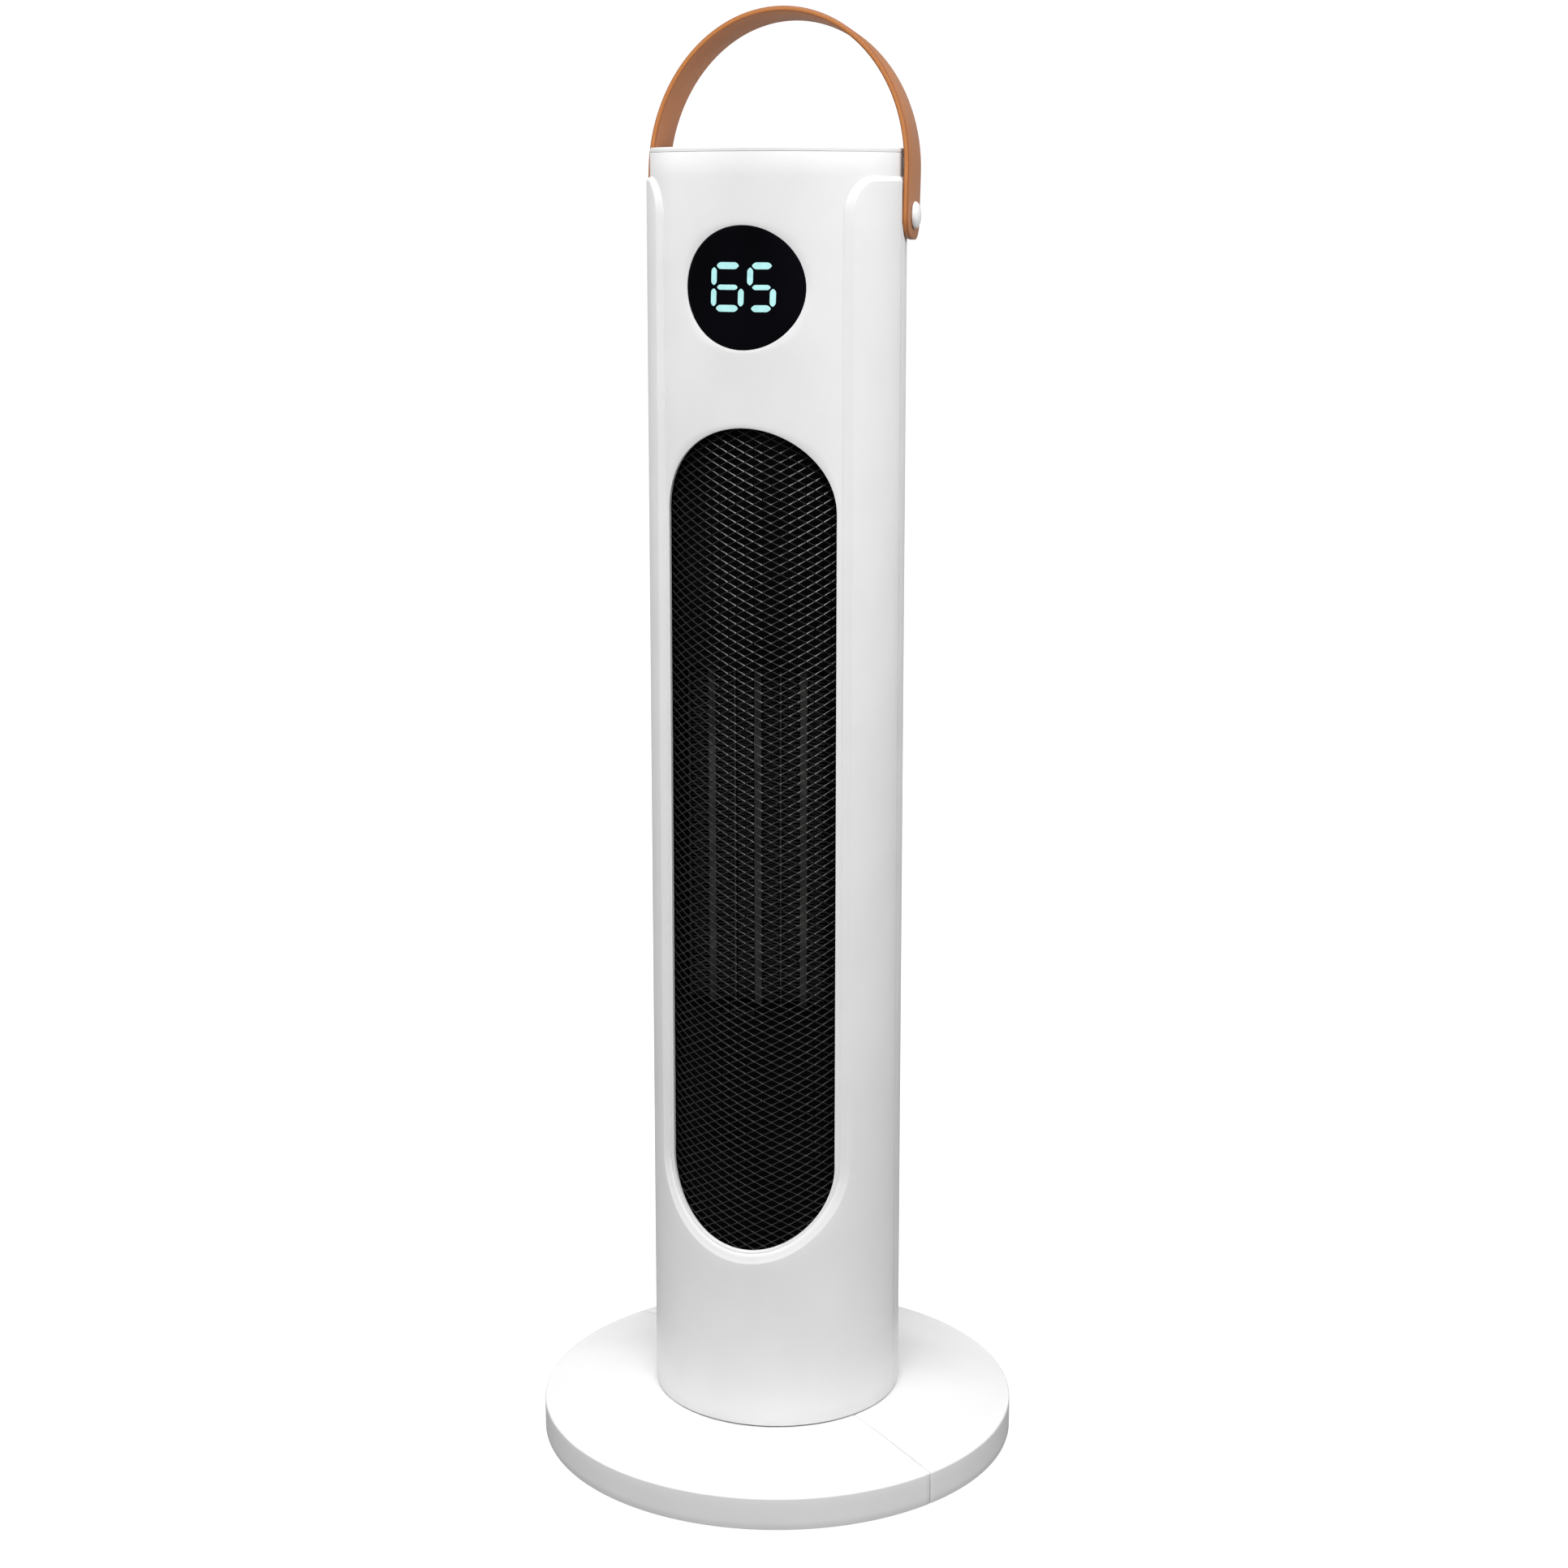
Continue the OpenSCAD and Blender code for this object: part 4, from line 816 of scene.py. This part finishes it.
def handle():
    half_w, t, legs, h = 13.5, 2.8, 63.7, 96.0
    mid_x, mid_h, spring = legs - t / 2, h - t / 2, 21.0
    path = [(mid_x, z) for z in (-11, -10.95, -10.75, -10.3, -9.6, -8.6, -7.2, -5.5, -3.8, -2, 3, 8, 12, 16)]
    path += [(mid_x * cos(radians(a)), spring + (mid_h - spring) * sin(radians(a))) for a in steps(0, 90, 30)]
    path += [(-x, z) for x, z in reversed(path[:-1])]
    lean = Matrix.Rotation(radians(-LEAN), 3, "X")
    pivot = Vector((0, PIVOT_Y, PIVOT_Z))
    rows, rims = [], []
    for i, (x, z) in enumerate(path):
        a, b = path[max(i - 1, 0)], path[min(i + 1, len(path) - 1)]
        tangent = Vector((b[0] - a[0], 0, b[1] - a[1])).normalized()
        normal = Vector((tangent.z, 0, -tangent.x))
        wide = half_w if z >= -2 else half_w - 9 + sqrt(max(81 - (z + 2) ** 2, 0.0))
        c = min(1.0, wide * 0.45)
        n = t / 2
        section = []
        for sy, sn in ((1, 1), (-1, 1), (-1, -1), (1, -1)):
            corner = [(sy * (wide - c + c * sin(radians(k))), sn * (n - c + c * cos(radians(k))), k / 90)
                      for k in (0, 30, 60, 90)]
            corner = corner if sy * sn < 0 else corner[::-1]
            section += corner
        rows.append([pivot + lean @ (Vector((x, y, z)) + normal * v) for y, v, _ in section])
        rims.append([k for _, _, k in section])
    part = Part().loft(rows, around=True, caps=True)
    obj = part.build("strap", "handle", "tan_leather", "handle_strap", sharp=50.0)
    made = [(p, k) for row, line in zip(rows, rims) for p, k in zip(row, line)]
    near = KDTree(len(made))
    for i, (p, _) in enumerate(made):
        near.insert(p, i)
    near.balance()
    rim = obj.data.attributes.new("rim", "FLOAT", "POINT")
    rim.data.foreach_set("value", [made[near.find(v.co / MM)[1]][1] for v in obj.data.vertices])

    caps = Part()
    cap_r, bore_r, n, seat_x, floor_x = 6.4, 5.05, 64, 64.0, 65.15
    dome = [(cap_r * cos(radians(a)), 0.4 + 2.5 * sin(radians(a))) for a in (8, 18, 30, 42, 54, 66, 78, 88)]

    def ring(x, r):
        return [Vector((x, y, z)) for y, z in circle(r, n, PIVOT_Y, PIVOT_Z)]

    for s in (-1, 1):
        profile = [(bore_r, 0.0), (cap_r - 0.15, 0.0), (cap_r, 0.15)] + dome
        rings = [ring(s * (seat_x + x), r) for r, x in profile]
        caps.loft(rings, around=True)
        caps.add(rings[-1], [tuple(range(n))])
        floor_ring = ring(s * floor_x, bore_r)
        caps.loft([rings[0], floor_ring], around=True)
        caps.add(floor_ring, [tuple(range(n))])
    caps.build("caps_pivot", "tower", "white_plastic", "pivot_caps")


front_casing()
front_panel()
outlet_mesh()
heater_fins()
display()
rear_casing()
top_and_buttons()
base()
handle()

# ---------------------------------------------------------------- CAD nodes that stay

SLOTS = {part["node"]: part["material_slot"] for part in frame["record"]["subparts"]}
# Painted shade: inner parts seen through the mesh get a near-black colour, darker than their own finishes,
# standing in for the shade inside the tower
PAINTED_SHADE_PARTS = ("air_guide", "heater_frame", "grille_clamp", "blower_scroll")
for name, obj in frame["nodes"].items():
    if obj.hide_render:
        continue
    obj.data.materials.clear()
    obj.data.materials.append(MATS["painted_shade_black" if name in PAINTED_SHADE_PARTS else SLOTS[name]])

# ---------------------------------------------------------------- studio

far = 6
floor_mesh = bpy.data.meshes.new("floor")
floor_mesh.from_pydata([(-far, -far, 0), (far, -far, 0), (far, far, 0), (-far, far, 0)], [], [(0, 1, 2, 3)])
floor = bpy.data.objects.new("floor", floor_mesh)
SCENE.collection.objects.link(floor)
mat, tree, bsdf = shader("floor_paper", 0.9)
tree.links.new(ramp(tree, noise(tree, 3.0), (0.3, (0.19, 0.19, 0.19)), (0.7, (0.21, 0.21, 0.21))),
               bsdf.inputs["Base Color"])
bsdf.inputs["Emission Color"].default_value = (1, 1, 1, 1)
bsdf.inputs["Emission Strength"].default_value = 0.95
floor_mesh.materials.append(mat)
floor.visible_diffuse = floor.visible_glossy = False

world = bpy.data.worlds.new("studio")
SCENE.world = world
world.use_nodes = True
tree = world.node_tree
out = tree.nodes["World Output"]
lit = tree.nodes["Background"]
lit.inputs["Strength"].default_value = 1.0
around = node(tree, "ShaderNodeTexCoord").outputs["Generated"]
upward = node(tree, "ShaderNodeSeparateXYZ", {"Vector": around})
room = ramp(tree, node(tree, "ShaderNodeMapRange", {
    "Value": upward.outputs["Z"], "From Min": -1.0, "From Max": 1.0}).outputs[0],
    (0.44, (0.30, 0.30, 0.30)), (0.54, (0.25, 0.25, 0.25)))
tree.links.new(room, lit.inputs["Color"])
seen = node(tree, "ShaderNodeBackground", {"Color": (1, 1, 1, 1), "Strength": 1.05})
mix = node(tree, "ShaderNodeMixShader")
tree.links.new(node(tree, "ShaderNodeLightPath").outputs["Is Camera Ray"], mix.inputs[0])
tree.links.new(lit.outputs[0], mix.inputs[1])
tree.links.new(seen.outputs[0], mix.inputs[2])
tree.links.new(mix.outputs[0], out.inputs[0])


def softbox(name, at, aim, size, power, glossy=False, spread=180):
    """Area light; fill lights show in no reflection."""
    light = bpy.data.lights.new(name, "AREA")
    light.shape, light.size, light.size_y = "RECTANGLE", *size
    light.energy, light.spread = power, radians(spread)
    obj = bpy.data.objects.new(name, light)
    SCENE.collection.objects.link(obj)
    obj.location = at
    obj.rotation_euler = (Vector(aim) - Vector(at)).to_track_quat("-Z", "Y").to_euler()
    obj.visible_camera = False
    obj.visible_glossy = glossy


softbox("overhead", (0.45, -2.7, 8.0), (0, 0, 0.3), (5.0, 2.8), 428, True)
softbox("front", (0.5, -1.7, 1.7), (0, 0, 0.8), (1.6, 1.0), 12.4, spread=115)
softbox("side_left", (-0.85, 0.0, 0.95), (0, 0, 0.62), (0.45, 0.6), 5.3)
softbox("side_right", (0.82, 0.22, 1.0), (0, 0, 0.45), (0.4, 0.4), 1.5, spread=100)

camera_data = bpy.data.cameras.new("camera")
camera_data.lens, camera_data.sensor_width, camera_data.shift_y = 60.35, 36.0, -0.083
camera = bpy.data.objects.new("camera", camera_data)
SCENE.collection.objects.link(camera)
camera.location = (0.3329, -1.2125, 0.6170)
camera.rotation_euler = (radians(90 - 9.96), 0, radians(15.2))
SCENE.camera = camera
SCENE.view_settings.view_transform = "Standard"
SCENE.view_settings.look = "None"
